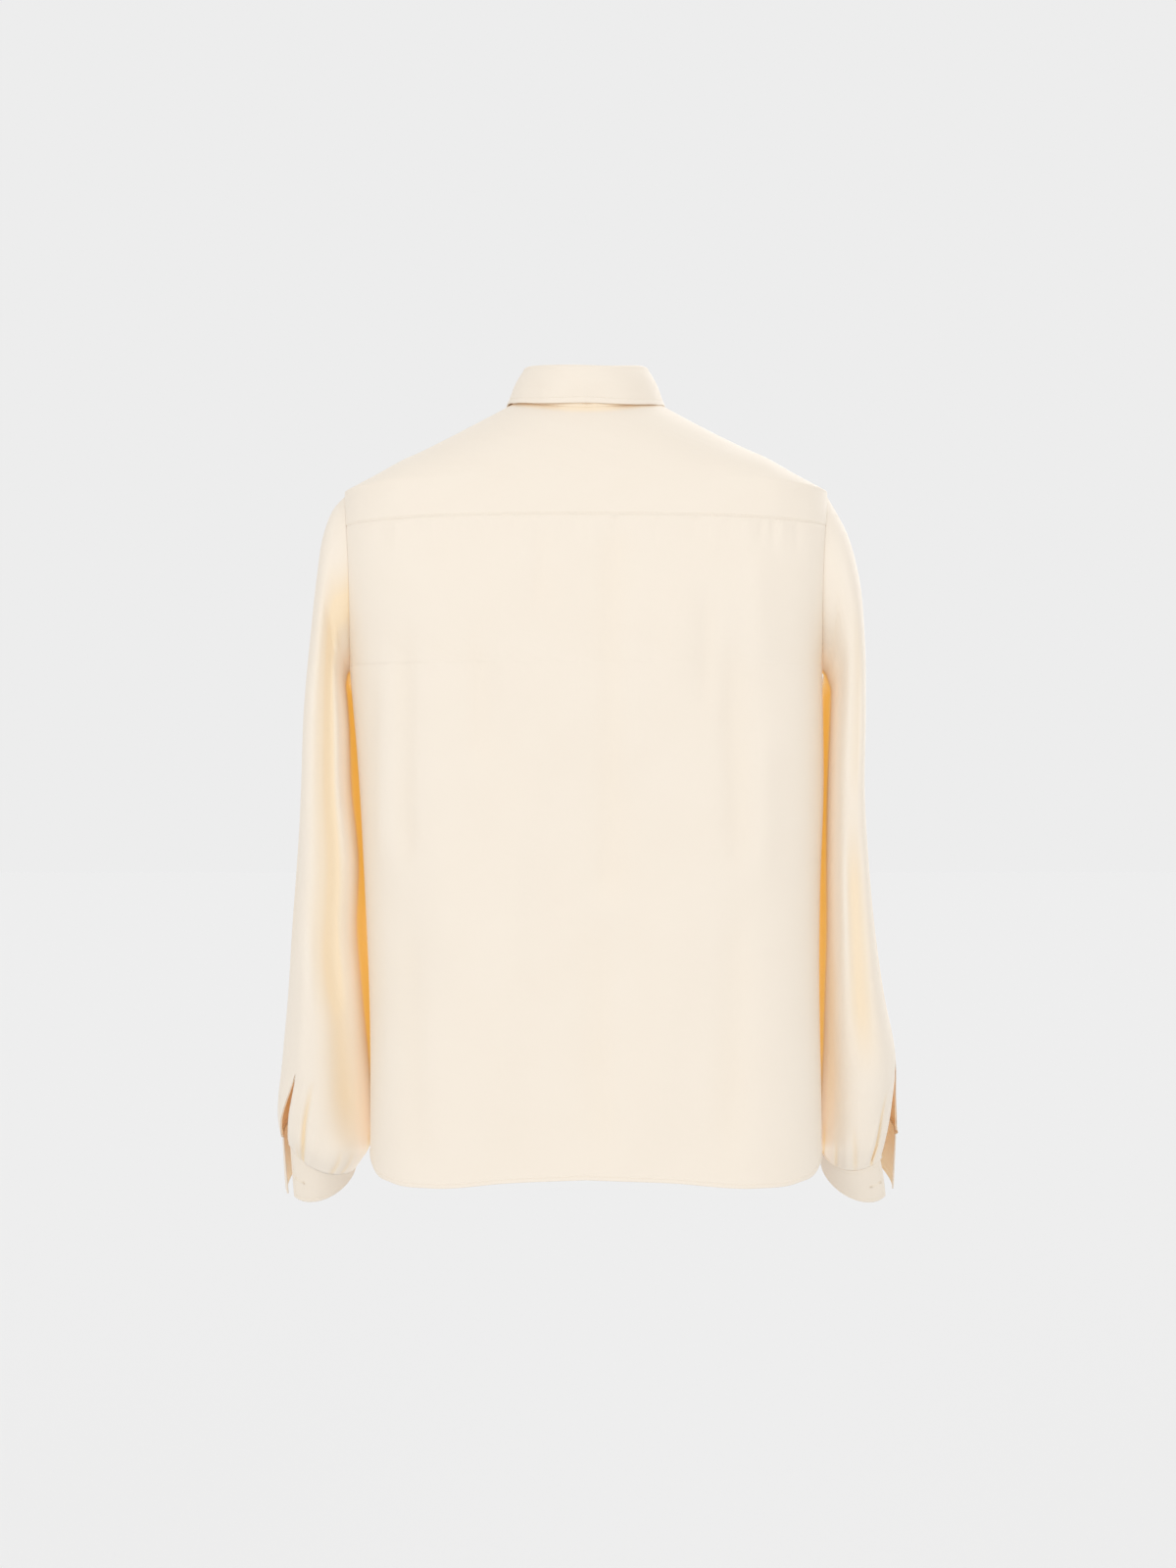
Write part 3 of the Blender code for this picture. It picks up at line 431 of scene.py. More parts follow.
front_angle = knots(np.pi, 0.045, (0.17, 0.10, 0.06), (0.3, 0.2))[::-1][1:]
front_arm = armhole(-front_angle)
front_arc = lengths(armhole(-np.append(np.pi, front_angle))[None])[0][1:]
front_arm_mid = UNDERARM_Z + (FRONT_TIP_Z - UNDERARM_Z) * front_arc / front_arc[-1]
front_shoulder = SHOULDER_TIP + shoulder_part[:, None] * (NECK_POINT - SHOULDER_TIP)
front_mid = np.concatenate([under_z, front_arm_mid, FRONT_TIP_Z + shoulder_part * (FRONT_NECK_Z - FRONT_TIP_Z)])
front_shares = knots(225.0, 2.6, (0.5, 1.2, 2.2, 3.4), (5.0, 3.5, 2.2, 1.2, 0.5)) / 225.0
front_grids = {}
for side, name in ((LEFT, "left_front"), (RIGHT, "right_front")):
    edges = np.concatenate([side_edges(side, under_z), front_arm, front_shoulder])
    depth = cubic(FRONT_DEPTH["z"], FRONT_DEPTH["y"], front_mid)
    half = half_sections(front_mid, edges, depth, squareness(front_mid, FRONT_TIP_Z, FRONT_NECK_Z))
    whole = np.concatenate([half[:, :0:-1] * (-1, 1, 1), half], axis=1)
    reach = lengths(half)[:, -1:]
    form = points_along(whole, reach - LAP + front_shares * (reach + LAP)) * (side, 1, 1)
    x, z = form[..., 0], form[..., 2]
    from_hem = lengths(form.transpose(1, 0, 2)).T
    from_top = from_hem[-1] - from_hem
    from_band = lengths(form)
    from_side = lengths(form)[:, -1:] - lengths(form)
    clear = ease(from_side, 0, 26) * ease(from_band, BAND, BAND + 26) * ease(from_top, 0, 30)
    front_fold = folds(FRONT_FOLDS[side], side * x, z) * clear
    out = front_fold + slack(side * x + 40, z + 60, 0.9) * clear + ditch(from_side)
    out += HEM_STEP * ease(from_hem, HEM_TURN + 0.4, HEM_TURN - 0.2)
    out += BAND_STEP * ease(from_band, BAND + 0.6, BAND - 0.2)
    grid = form + facing(form, form - TORSO_MIDDLE) * out[..., None]
    grid[..., 1] += side * LAP_CLEARANCE * (1 - ease(np.abs(x), *LAP_FADE))
    grid[..., 2] -= hem_drop(x, z)
    front_grids[side] = grid
    # Painted shade: the troughs of the folds and a strip beside each sleeve are tinted darker and warmer and glow.
    sleeve_gap_shade = ease(from_side, 9, 0) * ease(z, -225, -265) * ease(z, -600, -500)
    cloth("silk_" + name, grid, grid - TORSO_MIDDLE, SILK_WALL, [name],
          np.clip(np.clip(-front_fold / 50, 0, 1) + 0.5 * sleeve_gap_shade, 0, 1))


# --- Collar --------------------------------------------------------------------------------------------------
# The collar is two layers of silk over a light interfacing. The stand is a band round the neck that closes with
# one button. The fall is joined to the top of it, rolls over and lies down to two points at the front.

COLLAR_WALL = 1.2
STAND = {"top_half_width": 49.0, "top_back": 57.0, "top_front": -43.0,
         "side_rise": 26.5, "back_rise": 31.0, "front_rise": 24.0}
STAND_LIFT, STAND_LAP, STAND_CLEARANCE = 1.1, 13.0, 1.15
FALL_END, FALL_ROLL, FALL_GAP = 7.0, 2.6, 1.9
FALL_EDGE = {"angle": (0, 50, 78, 96, 118, 145, 172),
             "x": (0, 40.5, 61.0, 68.5, 69.0, 61.0, 46.0),
             "y": (66.4, 54.6, 30.5, 2.0, -36.0, -65.0, -81.0),
             "z": (-6.8, -6.0, -2.6, -1.0, -22.0, -61.0, -96.0)}
COLLAR_STITCH = 5.0             # from the fall's edge to its line of stitches


def ring_point(angle, half_width, back, front, side_z, back_z, front_z):
    """An egg-shaped ring round the neck: 0 at the centre back and 180 degrees at the front. Its height goes from
    the side's to the back's or the front's with the square of the cosine."""
    c, s = np.cos(angle), np.sin(angle)
    deep, high = np.where(c > 0, back, -front), np.where(c > 0, back_z, front_z)
    return np.stack([half_width * s, deep * c, side_z + (high - side_z) * c * c], axis=-1)


def neckline(angle):
    return ring_point(angle, NECK_POINT[0], BACK_DEPTH["y"][-1], FRONT_DEPTH["y"][-1], NECK_POINT[2],
                      BACK_NECK_Z, FRONT_NECK_Z)


def stand_top(angle):
    return ring_point(angle, STAND["top_half_width"], STAND["top_back"], STAND["top_front"],
                      NECK_POINT[2] + STAND["side_rise"], BACK_NECK_Z + STAND["back_rise"],
                      FRONT_NECK_Z + STAND["front_rise"])


stand_reach = np.pi + STAND_LAP / NECK_POINT[0]
stand_angle = np.linspace(-stand_reach, stand_reach, 181)
rise = knots(30.0, 2.2, (0.4, 1.0, 1.8), (1.8, 1.0, 0.4))[:, None, None] / 30.0
low = neckline(stand_angle) + (0, 0, STAND_LIFT - 0.8)
stand_grid = low + rise * (stand_top(stand_angle) - low)
front_half = np.where(np.abs(stand_angle) > np.pi / 2, 1.0, 0.0)
stand_grid[..., 1] += np.sign(stand_angle) * front_half * STAND_CLEARANCE * (
    1 - ease(np.abs(stand_grid[..., 0]), *LAP_FADE))
from_edge = np.minimum(rise, 1 - rise)[..., 0] * 30
stand_out = ditch(from_edge, 1.0, 0.35) + 0.25 * ease(from_edge, 0.5, 2.0)
stand_grid += facing(stand_grid, stand_grid * (1, 1, 0)) * stand_out[..., None]
stand_away = stand_grid * (1, 1, 0)
# Painted shade and painted light: the back half of the stand, under the fall, is tinted darker and warmer and glows
# faintly.
cloth("silk_collar_stand", stand_grid, stand_away, COLLAR_WALL, ["collar_stand"],
      0.4 * ease(stand_grid[..., 1], 0, 15), 0.04 * ease(stand_grid[..., 1], 0, 15))

share = np.linspace(-1, 1, 201)
roll_angle = share * (np.pi - np.arcsin(FALL_END / STAND["top_half_width"]))
top = stand_top(roll_angle)
step = (neckline(roll_angle + 0.01) - neckline(roll_angle - 0.01)) * (1, 1, 0)
level_out = np.stack([-step[:, 1], step[:, 0], 0 * share], axis=-1)
level_out /= -np.linalg.norm(level_out, axis=-1, keepdims=True)
level_out *= np.sign((level_out * top).sum())
roll_middle = top + (0, 0, FALL_GAP) + level_out * FALL_ROLL
turn = np.linspace(0, np.pi, 15)[:, None, None]
rolled = roll_middle + FALL_ROLL * (-level_out * np.cos(turn) + np.array([0, 0, 1]) * np.sin(turn))
degrees = np.abs(share) * FALL_EDGE["angle"][-1]
edge = np.stack([np.sign(share) * cubic(FALL_EDGE["angle"], FALL_EDGE["x"], degrees),
                 cubic(FALL_EDGE["angle"], FALL_EDGE["y"], degrees),
                 cubic(FALL_EDGE["angle"], FALL_EDGE["z"], degrees)], axis=-1)
edge[:, 2] += 0.012 * edge[:, 0] * ease(edge[:, 1], -20, 10)
t = (knots(40.0, 2.0, (), (6.0, 5.3, 4.7, 4.0, 2.6, 1.6, 0.9, 0.4)) / 40.0)[1:, None, None]
laid = rolled[-1] + (edge - rolled[-1]) * t + level_out * 3.0 * np.sin(np.pi * t) * (1 - t)
fall_grid = np.concatenate([rolled, laid])
from_outer = lengths(fall_grid.transpose(1, 0, 2)[:, ::-1]).T[::-1]
from_front = np.minimum(lengths(fall_grid), lengths(fall_grid)[:, -1:] - lengths(fall_grid))
from_rim = np.minimum(from_outer, from_front)
fall_out = -0.3 * np.exp(-((from_rim - COLLAR_STITCH) / 0.8) ** 2) - 0.35 * np.exp(-(from_rim / 0.8) ** 2)
fall_out += 0.7 * np.sin(fall_grid[..., 0] / 13 + 0.7) * np.sin(fall_grid[..., 1] / 31) * ease(from_outer, 0, 14) * (
    ease(from_outer, 60, 24))
fall_grid += facing(fall_grid, fall_grid * (1, 1, 0)) * fall_out[..., None]
fall_away = fall_grid * (1, 1, 0) + (0, 0, 0.1)
cloth("silk_collar_fall", fall_grid, fall_away, COLLAR_WALL, ["collar_fall"])


# --- Sleeves -------------------------------------------------------------------------------------------------
# Each sleeve is a full tube of silk, set smoothly into its armhole and gathered in small pleats into its cuff,
# which it hangs over. It is slit above the cuff, on the outside towards the back.

# A sleeve's rings: the ends of each across the body, where its middle is from front to back, its half-depth, how
# far its back point hangs below its front one, how boxy it is, and the slit's place in degrees from the outermost
# point towards the back.
RING = ("inner_x", "inner_z", "outer_x", "outer_z", "mid_y", "half_depth", "back_drop", "square", "slit")
RINGS = {
    LEFT: [
        (203.0, -228, 207.5, -78, 0, 62, 0, 2.0, 58),
        (206.0, -233, 217.2, -89, 0, 64, 0, 2.1, 58),
        (207.0, -238, 224.7, -108, 0, 67, 0, 2.2, 58),
        (207.5, -244, 230.9, -148, 0, 70, 0, 2.3, 58),
        (206.5, -252, 236.0, -198, 0, 72, 0, 2.4, 57),
        (204.5, -276, 241.2, -256, 0, 73, 0, 2.5, 56),
        (202.5, -332, 244.9, -328, -1, 73, 2, 2.5, 55),
        (196.0, -392, 249.2, -392, -4, 73, 5, 2.5, 55),
        (197.5, -452, 253.7, -450, -8, 72, 8, 2.5, 56),
        (193.0, -510, 258.2, -508, -14, 70, 12, 2.4, 58),
        (189.5, -562, 264.7, -560, -22, 66, 16, 2.3, 60),
        (188.5, -606, 268.7, -598, -29, 60, 19, 2.2, 49),
        (189.5, -642, 266.7, -620, -33, 51, 21, 2.1, 39),
        (198.0, -655, 264.0, -628, -35, 41, 21, 2.0, 32),
    ],
    RIGHT: [
        (203.0, -228, 207.5, -78, 0, 62, 0, 2.0, 50),
        (207.0, -233, 214.2, -90, 0, 64, 0, 2.1, 50),
        (209.0, -238, 224.2, -110, 0, 67, 0, 2.2, 50),
        (211.0, -244, 234.2, -148, 0, 70, 0, 2.3, 50),
        (211.5, -252, 238.6, -198, 0, 72, 0, 2.4, 50),
        (210.5, -276, 239.4, -256, 0, 73, 0, 2.5, 49),
        (208.5, -332, 238.8, -328, -1, 74, 2, 2.5, 47),
        (208.0, -392, 243.2, -392, -4, 74, 5, 2.5, 44),
        (208.5, -452, 249.4, -450, -8, 72, 8, 2.5, 40),
        (207.5, -510, 258.5, -508, -14, 70, 12, 2.4, 32),
        (207.0, -562, 269.2, -560, -22, 66, 16, 2.3, 24),
        (206.0, -602, 269.2, -594, -29, 60, 20, 2.2, 36),
        (205.8, -630, 269.7, -615, -33, 51, 23, 2.1, 50),
        (205.3, -643, 269.5, -627, -35, 41, 24, 2.0, 54),
    ],
}
CUFF_RING = ("centre_x", "centre_y", "centre_z", "half_width", "half_depth", "back_drop", "outer_drop")
CUFFS = {LEFT: [(233.0, -34.0, -638.0, 30.0, 34.0, 20.0, -8.0), (234.5, -60.0, -674.0, 29.5, 31.0, 20.0, 7.0)],
         RIGHT: [(237.5, -34.0, -636.5, 31.0, 34.0, 26.0, -6.0), (239.5, -60.0, -674.0, 30.0, 31.0, 20.0, 8.0)]}
SLIT_GAP, SLIT_FLARE = {LEFT: 16.0, RIGHT: 30.0}, 4.0
CUFF_GAP = {LEFT: (8.5, 5.5), RIGHT: (31.0, 13.0)}      # between a cuff's ends, at its seam and its lower edge
SLIT_TOP_RING = 10
# How far the inner front of each sleeve swings in towards the body, and the heights over which it does.
SLEEVE_SWING = {LEFT: 18.0, RIGHT: 14.0}
SWING_Z = (-160.0, -240.0, -585.0, -640.0)
# Folds run down a sleeve at places given in degrees, 90 at the back and -90 at the front.
SLEEVE_FOLDS = {
    LEFT: [((104, 107, 108), (20, 22), -9.5, (-95, -540), 90), ((108, 116, 126), (20, 20), -7.0, (-440, -660), 70),
           ((54, 52, 50), (15, 17), 2.2, (-170, -420), 90), ((126, 130, 134), (14, 12), 2.0, (-200, -430), 80),
           ((78, 70, 66), (14, 12), 2.2, (-430, -610), 70), ((20, 26, 30), (16, 12), -2.4, (-260, -520), 90),
           ((-30, -34, -30), (18, 14), 2.4, (-160, -430), 100), ((-88, -90, -96), (18, 20), -6.0, (-170, -500), 110),
           ((-60, -66, -70), (14, 12), 2.4, (-330, -600), 80), ((-128, -122, -118), (14, 18), -3.0, (-380, -620), 80),
           ((0, 4, 8), (14, 14), -1.8, (-430, -620), 60), ((160, 164, 168), (14, 14), -2.4, (-300, -600), 90)],
    RIGHT: [((92, 92, 90), (16, 20), -7.0, (-340, -590), 80), ((60, 58, 56), (16, 14), 2.2, (-200, -460), 90),
            ((126, 124, 122), (14, 16), 2.0, (-240, -520), 80), ((76, 80, 84), (16, 14), -3.0, (-150, -380), 90),
            ((30, 24, 20), (14, 12), -2.4, (-300, -560), 80), ((-30, -26, -20), (16, 18), 2.2, (-180, -470), 90),
            ((-92, -88, -84), (18, 16), -5.5, (-190, -520), 110), ((-64, -60, -56), (12, 14), 2.2, (-360, -600), 70),
            ((-120, -124, -128), (16, 14), -3.0, (-330, -610), 80),
            ((150, 146, 140), (12, 14), -2.4, (-450, -640), 60)],
}
# Small pleats above the cuff: their places at the top and at the cuff, half-widths, depth and length.
PLEAT = ("top", "low", "wide", "out", "length")
PLEATS = {
    LEFT: [(84, 63, 2.8, -4.4, 80), (92, 74, 5.0, 1.6, 50), (60, 54, 3.0, -1.6, 20), (112, 108, 3.4, -2.2, 22),
           (128, 124, 3.4, -1.8, 20), (142, 146, 5.0, 1.4, 30), (160, 160, 4.0, -2.4, 30), (185, 182, 5.0, 1.6, 26),
           (204, 202, 4.0, -2.6, 34), (226, 230, 5.0, 1.6, 28), (248, 252, 4.0, -2.8, 40), (270, 272, 5.0, 1.6, 30),
           (290, 296, 4.0, -2.6, 36), (318, 320, 5.0, 1.4, 26), (342, 340, 4.0, -2.2, 30)],
    RIGHT: [(56, 72, 2.8, -4.4, 60), (66, 84, 5.0, 1.6, 40), (104, 98, 3.6, -1.8, 36), (116, 112, 5.0, 1.2, 30),
            (132, 130, 3.4, -2.0, 24), (158, 160, 4.0, -2.4, 30), (180, 184, 5.0, 1.6, 26), (200, 204, 4.0, -2.6, 36),
            (222, 226, 5.0, 1.6, 28), (242, 246, 4.0, -2.8, 38), (268, 266, 5.0, 1.6, 30), (288, 290, 4.0, -2.4, 34),
            (312, 314, 5.0, 1.4, 26), (338, 336, 4.0, -2.2, 28)],
}


def cuff_point(side, rise, angle):
    """A cuff is a cone between two tilted ellipses: rise is 0 at its seam and 1 at its lower edge."""
    rings = []
    for row in CUFFS[side]:
        r = dict(zip(CUFF_RING, row))
        c, s = np.cos(angle), np.sin(angle)
        rings.append(np.stack([r["centre_x"] + r["half_width"] * c, r["centre_y"] + r["half_depth"] * s,
                               r["centre_z"] - r["back_drop"] * s - r["outer_drop"] * c], axis=-1))
    return rings[0] + (rings[1] - rings[0]) * rise


def sleeve_grid(side):
    """A sleeve's grid, the middle of each of its rows, the painted warm shade and painted glow of each point, the row
    where its slit starts and the row after its last ring. Its rings are superellipses whose sizes are cubics of the
    distance down the sleeve, and its last rows turn in and up to the cuff's seam."""
    table = {key: np.array(column, float) for key, column in zip(RING, zip(*RINGS[side]))}
    middle = np.stack([table["inner_x"] + table["outer_x"], 2 * table["mid_y"],
                       table["inner_z"] + table["outer_z"]], axis=-1) / 2
    down = lengths(middle[None])[0]
    at = knots(down[-1], 3.0, (0.6, 1.4, 2.4), (4.5, 3.0, 1.5))
    ring = {key: cubic(down, column, at)[:, None] for key, column in table.items()}
    slit_share = np.clip((at - down[SLIT_TOP_RING]) / (down[-1] - down[SLIT_TOP_RING]), 0, 1)[:, None]
    gap = SLIT_GAP[side] * slit_share ** 0.8 + (CUFF_GAP[side][0] - SLIT_GAP[side]) * ease(slit_share, 0.55, 1)
    gape = np.degrees(gap / ring["half_depth"])
    turn = np.linspace(0, 1, 181)
    degrees = ring["slit"] + (360 - gape) * turn
    angle = np.radians(degrees)
    c, s = np.cos(angle), np.sin(angle)
    power = 2 / ring["square"]
    c, s = np.sign(c) * np.abs(c) ** power, np.sign(s) * np.abs(s) ** power
    centre = np.stack([(ring["inner_x"] + ring["outer_x"]) / 2, ring["mid_y"],
                       (ring["inner_z"] + ring["outer_z"]) / 2], axis=-1)
    points = centre + np.stack([(ring["outer_x"] - ring["inner_x"]) / 2 * c, ring["half_depth"] * s,
                                (ring["outer_z"] - ring["inner_z"]) / 2 * c - ring["back_drop"] * s], axis=-1)
    points[..., 0] -= ARMHOLE_HOLLOW * s ** 2 * ease(at, 14, 0)[:, None]
    level = centre[..., 2]
    swing = SLEEVE_SWING[side] * ease(level, SWING_Z[0], SWING_Z[1]) * ease(level, SWING_Z[3], SWING_Z[2])
    points[..., 0] -= swing * np.clip(-s, 0, 1) * np.clip(-c, 0, 1)
    wrapped = (degrees + 180) % 360 - 180
    lying = sum(folds(SLEEVE_FOLDS[side], wrapped + around, points[..., 2]) for around in (-360, 0, 360))
    small = np.zeros(points.shape[:2])
    to_cuff = (at[-1] - at)[:, None]
    for row in PLEATS[side]:
        pleat = dict(zip(PLEAT, row))
        share = np.clip(to_cuff / pleat["length"], 0, 1)
        line = pleat["low"] + (pleat["top"] - pleat["low"]) * share
        aside = (degrees - line + 180) % 360 - 180
        small += pleat["out"] * (1 - share ** 2) * ease(to_cuff, -8, 6) * np.exp(-(aside / pleat["wide"]) ** 2)
    open_edge = np.minimum(turn, 1 - turn) * 360
    near_slit = 1 - ease(slit_share, 0, 0.15) * (1 - ease(open_edge, 0, 16))
    loose = 0.8 * slack(wrapped * 0.8, points[..., 2], 1.0) * ease(at, 0, 40)[:, None]
    out = (lying * ease(at, 4, 40)[:, None] + loose + small) * near_slit + ditch(at)[:, None]
    outward = (points - centre) * (0.3, 1, 0)
    outward /= np.linalg.norm(outward, axis=-1, keepdims=True) + 1e-9
    points = points + outward * out[..., None]
    flare = SLIT_FLARE * slit_share * ease(turn, 0.86, 1.0)
    points[..., 0] += flare
    seam_degrees = degrees[-1]
    seam = cuff_point(side, 0, np.radians(seam_degrees))
    out_dir = (seam - CUFFS[side][0][:3]) * (1, 1, 0)
    out_dir /= np.linalg.norm(out_dir, axis=-1, keepdims=True)
    ripple = 0.5 * small[-1][:, None]
    beside = seam + out_dir * (3.2 + ripple) + (0, 0, 0.6)
    joined = seam + (0, 0, 0.5)
    for line in (beside, joined):
        line[:, 0] += flare[-1]
    t = np.linspace(0, 1, 9)[1:, None, None]
    tucked = points[-1] * (1 - t) ** 2 + beside * 2 * t * (1 - t) + joined * t ** 2
    # Painted shade and painted light: the side of the sleeve that faces the body is tinted warm and glows orange in
    # the narrow gap, the rest of the hidden side gets a pale painted glow, and the troughs of folds and pleats are
    # tinted darker and warmer.
    hidden = np.abs(degrees % 360 - 180)
    deep = ease(wrapped % 360, 167, 178) * ease(wrapped % 360, 236, 202)
    low = ease(points[..., 2], -180, -225)
    inner = low * (0.9 * deep + 0.1 * ease(hidden, 50, 26)) * (0.55 + 0.45 * ease(points[..., 2], -650, -560))
    glow = low * ease(hidden, 64, 24) * (1 - deep) * (0.17 + 0.07 * ease(points[..., 2], -540, -620))
    painted_warm_shade = np.clip(np.clip(-lying / 13, 0, 0.62) + 0.7 * np.clip(-small / 3, 0, 1) + inner, 0, 1)
    painted_warm_shade, glow = (np.concatenate([shade, np.repeat(shade[-1:], len(t), axis=0)]) for shade in (painted_warm_shade, glow))
    grid = np.concatenate([points, tucked]) * (side, 1, 1)
    hub = np.concatenate([centre, np.repeat(centre[-1:], len(t), axis=0)]) * (side, 1, 1)
    return grid, hub, painted_warm_shade, glow, int(np.argmax(slit_share[:, 0] > 0)), len(points)


sleeves = {}
for side, name in ((LEFT, "left_sleeve"), (RIGHT, "right_sleeve")):
    grid, hub, painted_warm_shade, glow, slit_row, end_row = sleeve_grid(side)
    sleeves[side] = grid, hub, slit_row, end_row
    cloth("silk_" + name, grid, grid - hub, SILK_WALL, [name], painted_warm_shade, glow)


# --- Plackets ------------------------------------------------------------------------------------------------
# A straight strip of the same silk is sewn behind both edges of each slit, in one piece round its top.

PLACKET_WIDTH, PLACKET_SET_IN = 10.5, 0.9

for side, name in ((LEFT, "left_placket"), (RIGHT, "right_placket")):
    grid, hub, slit_row, end_row = sleeves[side]
    strips = []
    for edge_line, inside_line in ((grid[slit_row:end_row, 0], grid[slit_row:end_row, 4]),
                                   (grid[slit_row:end_row, -1], grid[slit_row:end_row, -5])):
        along = inside_line - edge_line
        along /= np.linalg.norm(along, axis=-1, keepdims=True)
        inward = hub[slit_row:end_row, 0] - edge_line
        inward -= along * (inward * along).sum(axis=-1, keepdims=True)
        inward /= np.linalg.norm(inward, axis=-1, keepdims=True)
        across = np.linspace(0, PLACKET_WIDTH, 7)[:, None, None]
        strips.append(edge_line + along * across + inward * (PLACKET_SET_IN + 0.02 * across))
    placket = np.concatenate([strips[0][:, ::-1], strips[1]], axis=1).transpose(1, 0, 2)
    # Painted shade and painted light inside the slit: the strip is tinted warmer and glows faintly.
    cloth("silk_" + name, placket, placket - hub[end_row - 1], SILK_WALL, [name], 0.3, 0.15)


# --- Cuffs ---------------------------------------------------------------------------------------------------
# A cuff is a straight band of two layers over interfacing. It is unbuttoned, so its ends stand a little apart at
# the slit, and it is stitched close to its edges.

CUFF_STITCH = 4.0
CUFF_END_SLANT = {LEFT: 6.0, RIGHT: -21.0}  # how far the back end's place turns, in degrees, from seam to lower edge

cuff_grids = {}
for side, name in ((LEFT, "left_cuff"), (RIGHT, "right_cuff")):
    turn = knots(200.0, 1.9, (0.4, 1.0, 2.0), (2.0, 1.0, 0.4)) / 200.0
    rise = knots(44.0, 1.8, (0.4, 0.9, 1.6), (5.2, 4.6, 4.0, 3.4, 2.8, 1.6, 0.9, 0.4))[:, None, None] / 44.0
    down = rise[..., 0]
    slit = RINGS[side][-1][-1] + CUFF_END_SLANT[side] * down
    gap = CUFF_GAP[side][0] + (CUFF_GAP[side][1] - CUFF_GAP[side][0]) * down
    gape = np.degrees(gap / RINGS[side][-1][RING.index("half_depth")])
    grid = cuff_point(side, rise, np.radians(slit + (360 - gape) * turn))
    grid[..., 0] += SLIT_FLARE * ease(turn, 0.86, 1.0)
    middle = cuff_point(side, rise, np.linspace(0, 2 * np.pi, 33)[None, :-1]).mean(axis=1, keepdims=True)
    around = lengths(grid)
    to_edge = np.minimum(np.minimum(rise, 1 - rise)[..., 0] * 44, np.minimum(around, around[:, -1:] - around))
    cuff_out = -0.4 * np.exp(-(to_edge / 0.9) ** 2) - 0.22 * np.exp(-((to_edge - CUFF_STITCH) / 0.8) ** 2)
    cuff_out += 0.35 * np.sin(around / 15 + 0.8) * ease(to_edge, 0, 12)
    grid = grid + facing(grid, grid - middle) * cuff_out[..., None]
    grid, middle = grid * (side, 1, 1), middle * (side, 1, 1)
    cuff_grids[side] = grid, middle
    # A light painted warm shade over the whole cuff.
    cloth("silk_" + name, grid, grid - middle, COLLAR_WALL, [name], 0.06)


# --- Buttons -------------------------------------------------------------------------------------------------
# The buttons are turned from shell, 10 mm across, with a dished face and four holes, and are sewn on with silk
# thread. One closes the stand, six close the fronts, and each cuff has one on its front end, unfastened.

BUTTON_PROFILE = [(0, -1.1), (3.2, -1.1), (4.2, -0.8), (4.8, -0.3), (5.0, 0.2), (4.95, 0.6), (4.7, 0.95), (4.3, 1.1),
                  (3.9, 1.05), (3.5, 0.8), (3.1, 0.55), (2.6, 0.45), (0, 0.42)]
HOLE_RADIUS, HOLE_PLACE = 0.5, 0.95         # each hole's place, along and across
THREAD_RADIUS, SHANK_RADIUS, SHANK_LENGTH = 0.34, 0.8, 1.0
BUTTON_STAND_OFF = 2.1                      # from the cloth's middle surface to a button's middle


def numbered(rows, columns, closed):
    """The corners of the quads of a grid, whose columns may close on themselves."""
    number = np.arange(rows * columns).reshape(rows, columns)
    after = np.roll(number, -1, axis=1) if closed else number[:, 1:]
    number = number if closed else number[:, :-1]
    return np.stack([number[:-1], after[:-1], after[1:], number[1:]], axis=-1).reshape(-1, 4)


def turned(profile, count=48):
    """A shape turned about z: each point (r, z) of the profile is a ring of count points."""
    angle = 2 * np.pi * np.arange(count) / count
    r, z = np.array(profile, float).T[..., None]
    points = np.stack([r * np.cos(angle), r * np.sin(angle), z + 0 * angle], axis=-1)
    return points.reshape(-1, 3), numbered(len(profile), count, True)


def tube(path, radius, sides=10):
    """A round thread along a path: at each point, a ring square to the path, drawn in to nothing at both ends."""
    along = np.gradient(path, axis=0)
    along /= np.linalg.norm(along, axis=-1, keepdims=True)
    first = np.cross(along, (0.31, 0.95, 0.07))
    first /= np.linalg.norm(first, axis=-1, keepdims=True)
    second = np.cross(along, first)
    angle = 2 * np.pi * np.arange(sides)[None, :, None] / sides
    size = radius * np.ones(len(path))
    size[[0, -1]] = 0
    points = path[:, None] + size[:, None, None] * (first[:, None] * np.cos(angle) + second[:, None] * np.sin(angle))
    return points.reshape(-1, 3), numbered(len(path), sides, True)


def together(parts):
    """Several lots of points and faces as one."""
    starts = np.cumsum([0] + [len(points) for points, _ in parts[:-1]])
    return (np.concatenate([points for points, _ in parts]),
            np.concatenate([faces + start for (_, faces), start in zip(parts, starts)]))


def mesh_of(name, points, faces, finishes):
    """A mesh with its doubles merged and its faces turned outwards."""
    mesh = bpy.data.meshes.new(name)
    mesh.from_pydata(points.tolist(), [], faces.tolist())
    bm = bmesh.new()
    bm.from_mesh(mesh)
    bmesh.ops.remove_doubles(bm, verts=bm.verts, dist=1e-5)
    bmesh.ops.recalc_face_normals(bm, faces=bm.faces)
    bm.to_mesh(mesh)
    bm.free()
    mesh.shade_smooth()
    for finish in finishes:
        mesh.materials.append(finish)
    return mesh


def placed(name, mesh, slot, *nodes):
    """A finished piece, in place in its mesh, that rides on the one body."""
    piece = bpy.data.objects.new(name, mesh)
    bpy.context.scene.collection.objects.link(piece)
    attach(piece, "root")
    if nodes:
        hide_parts(*nodes)
    return piece


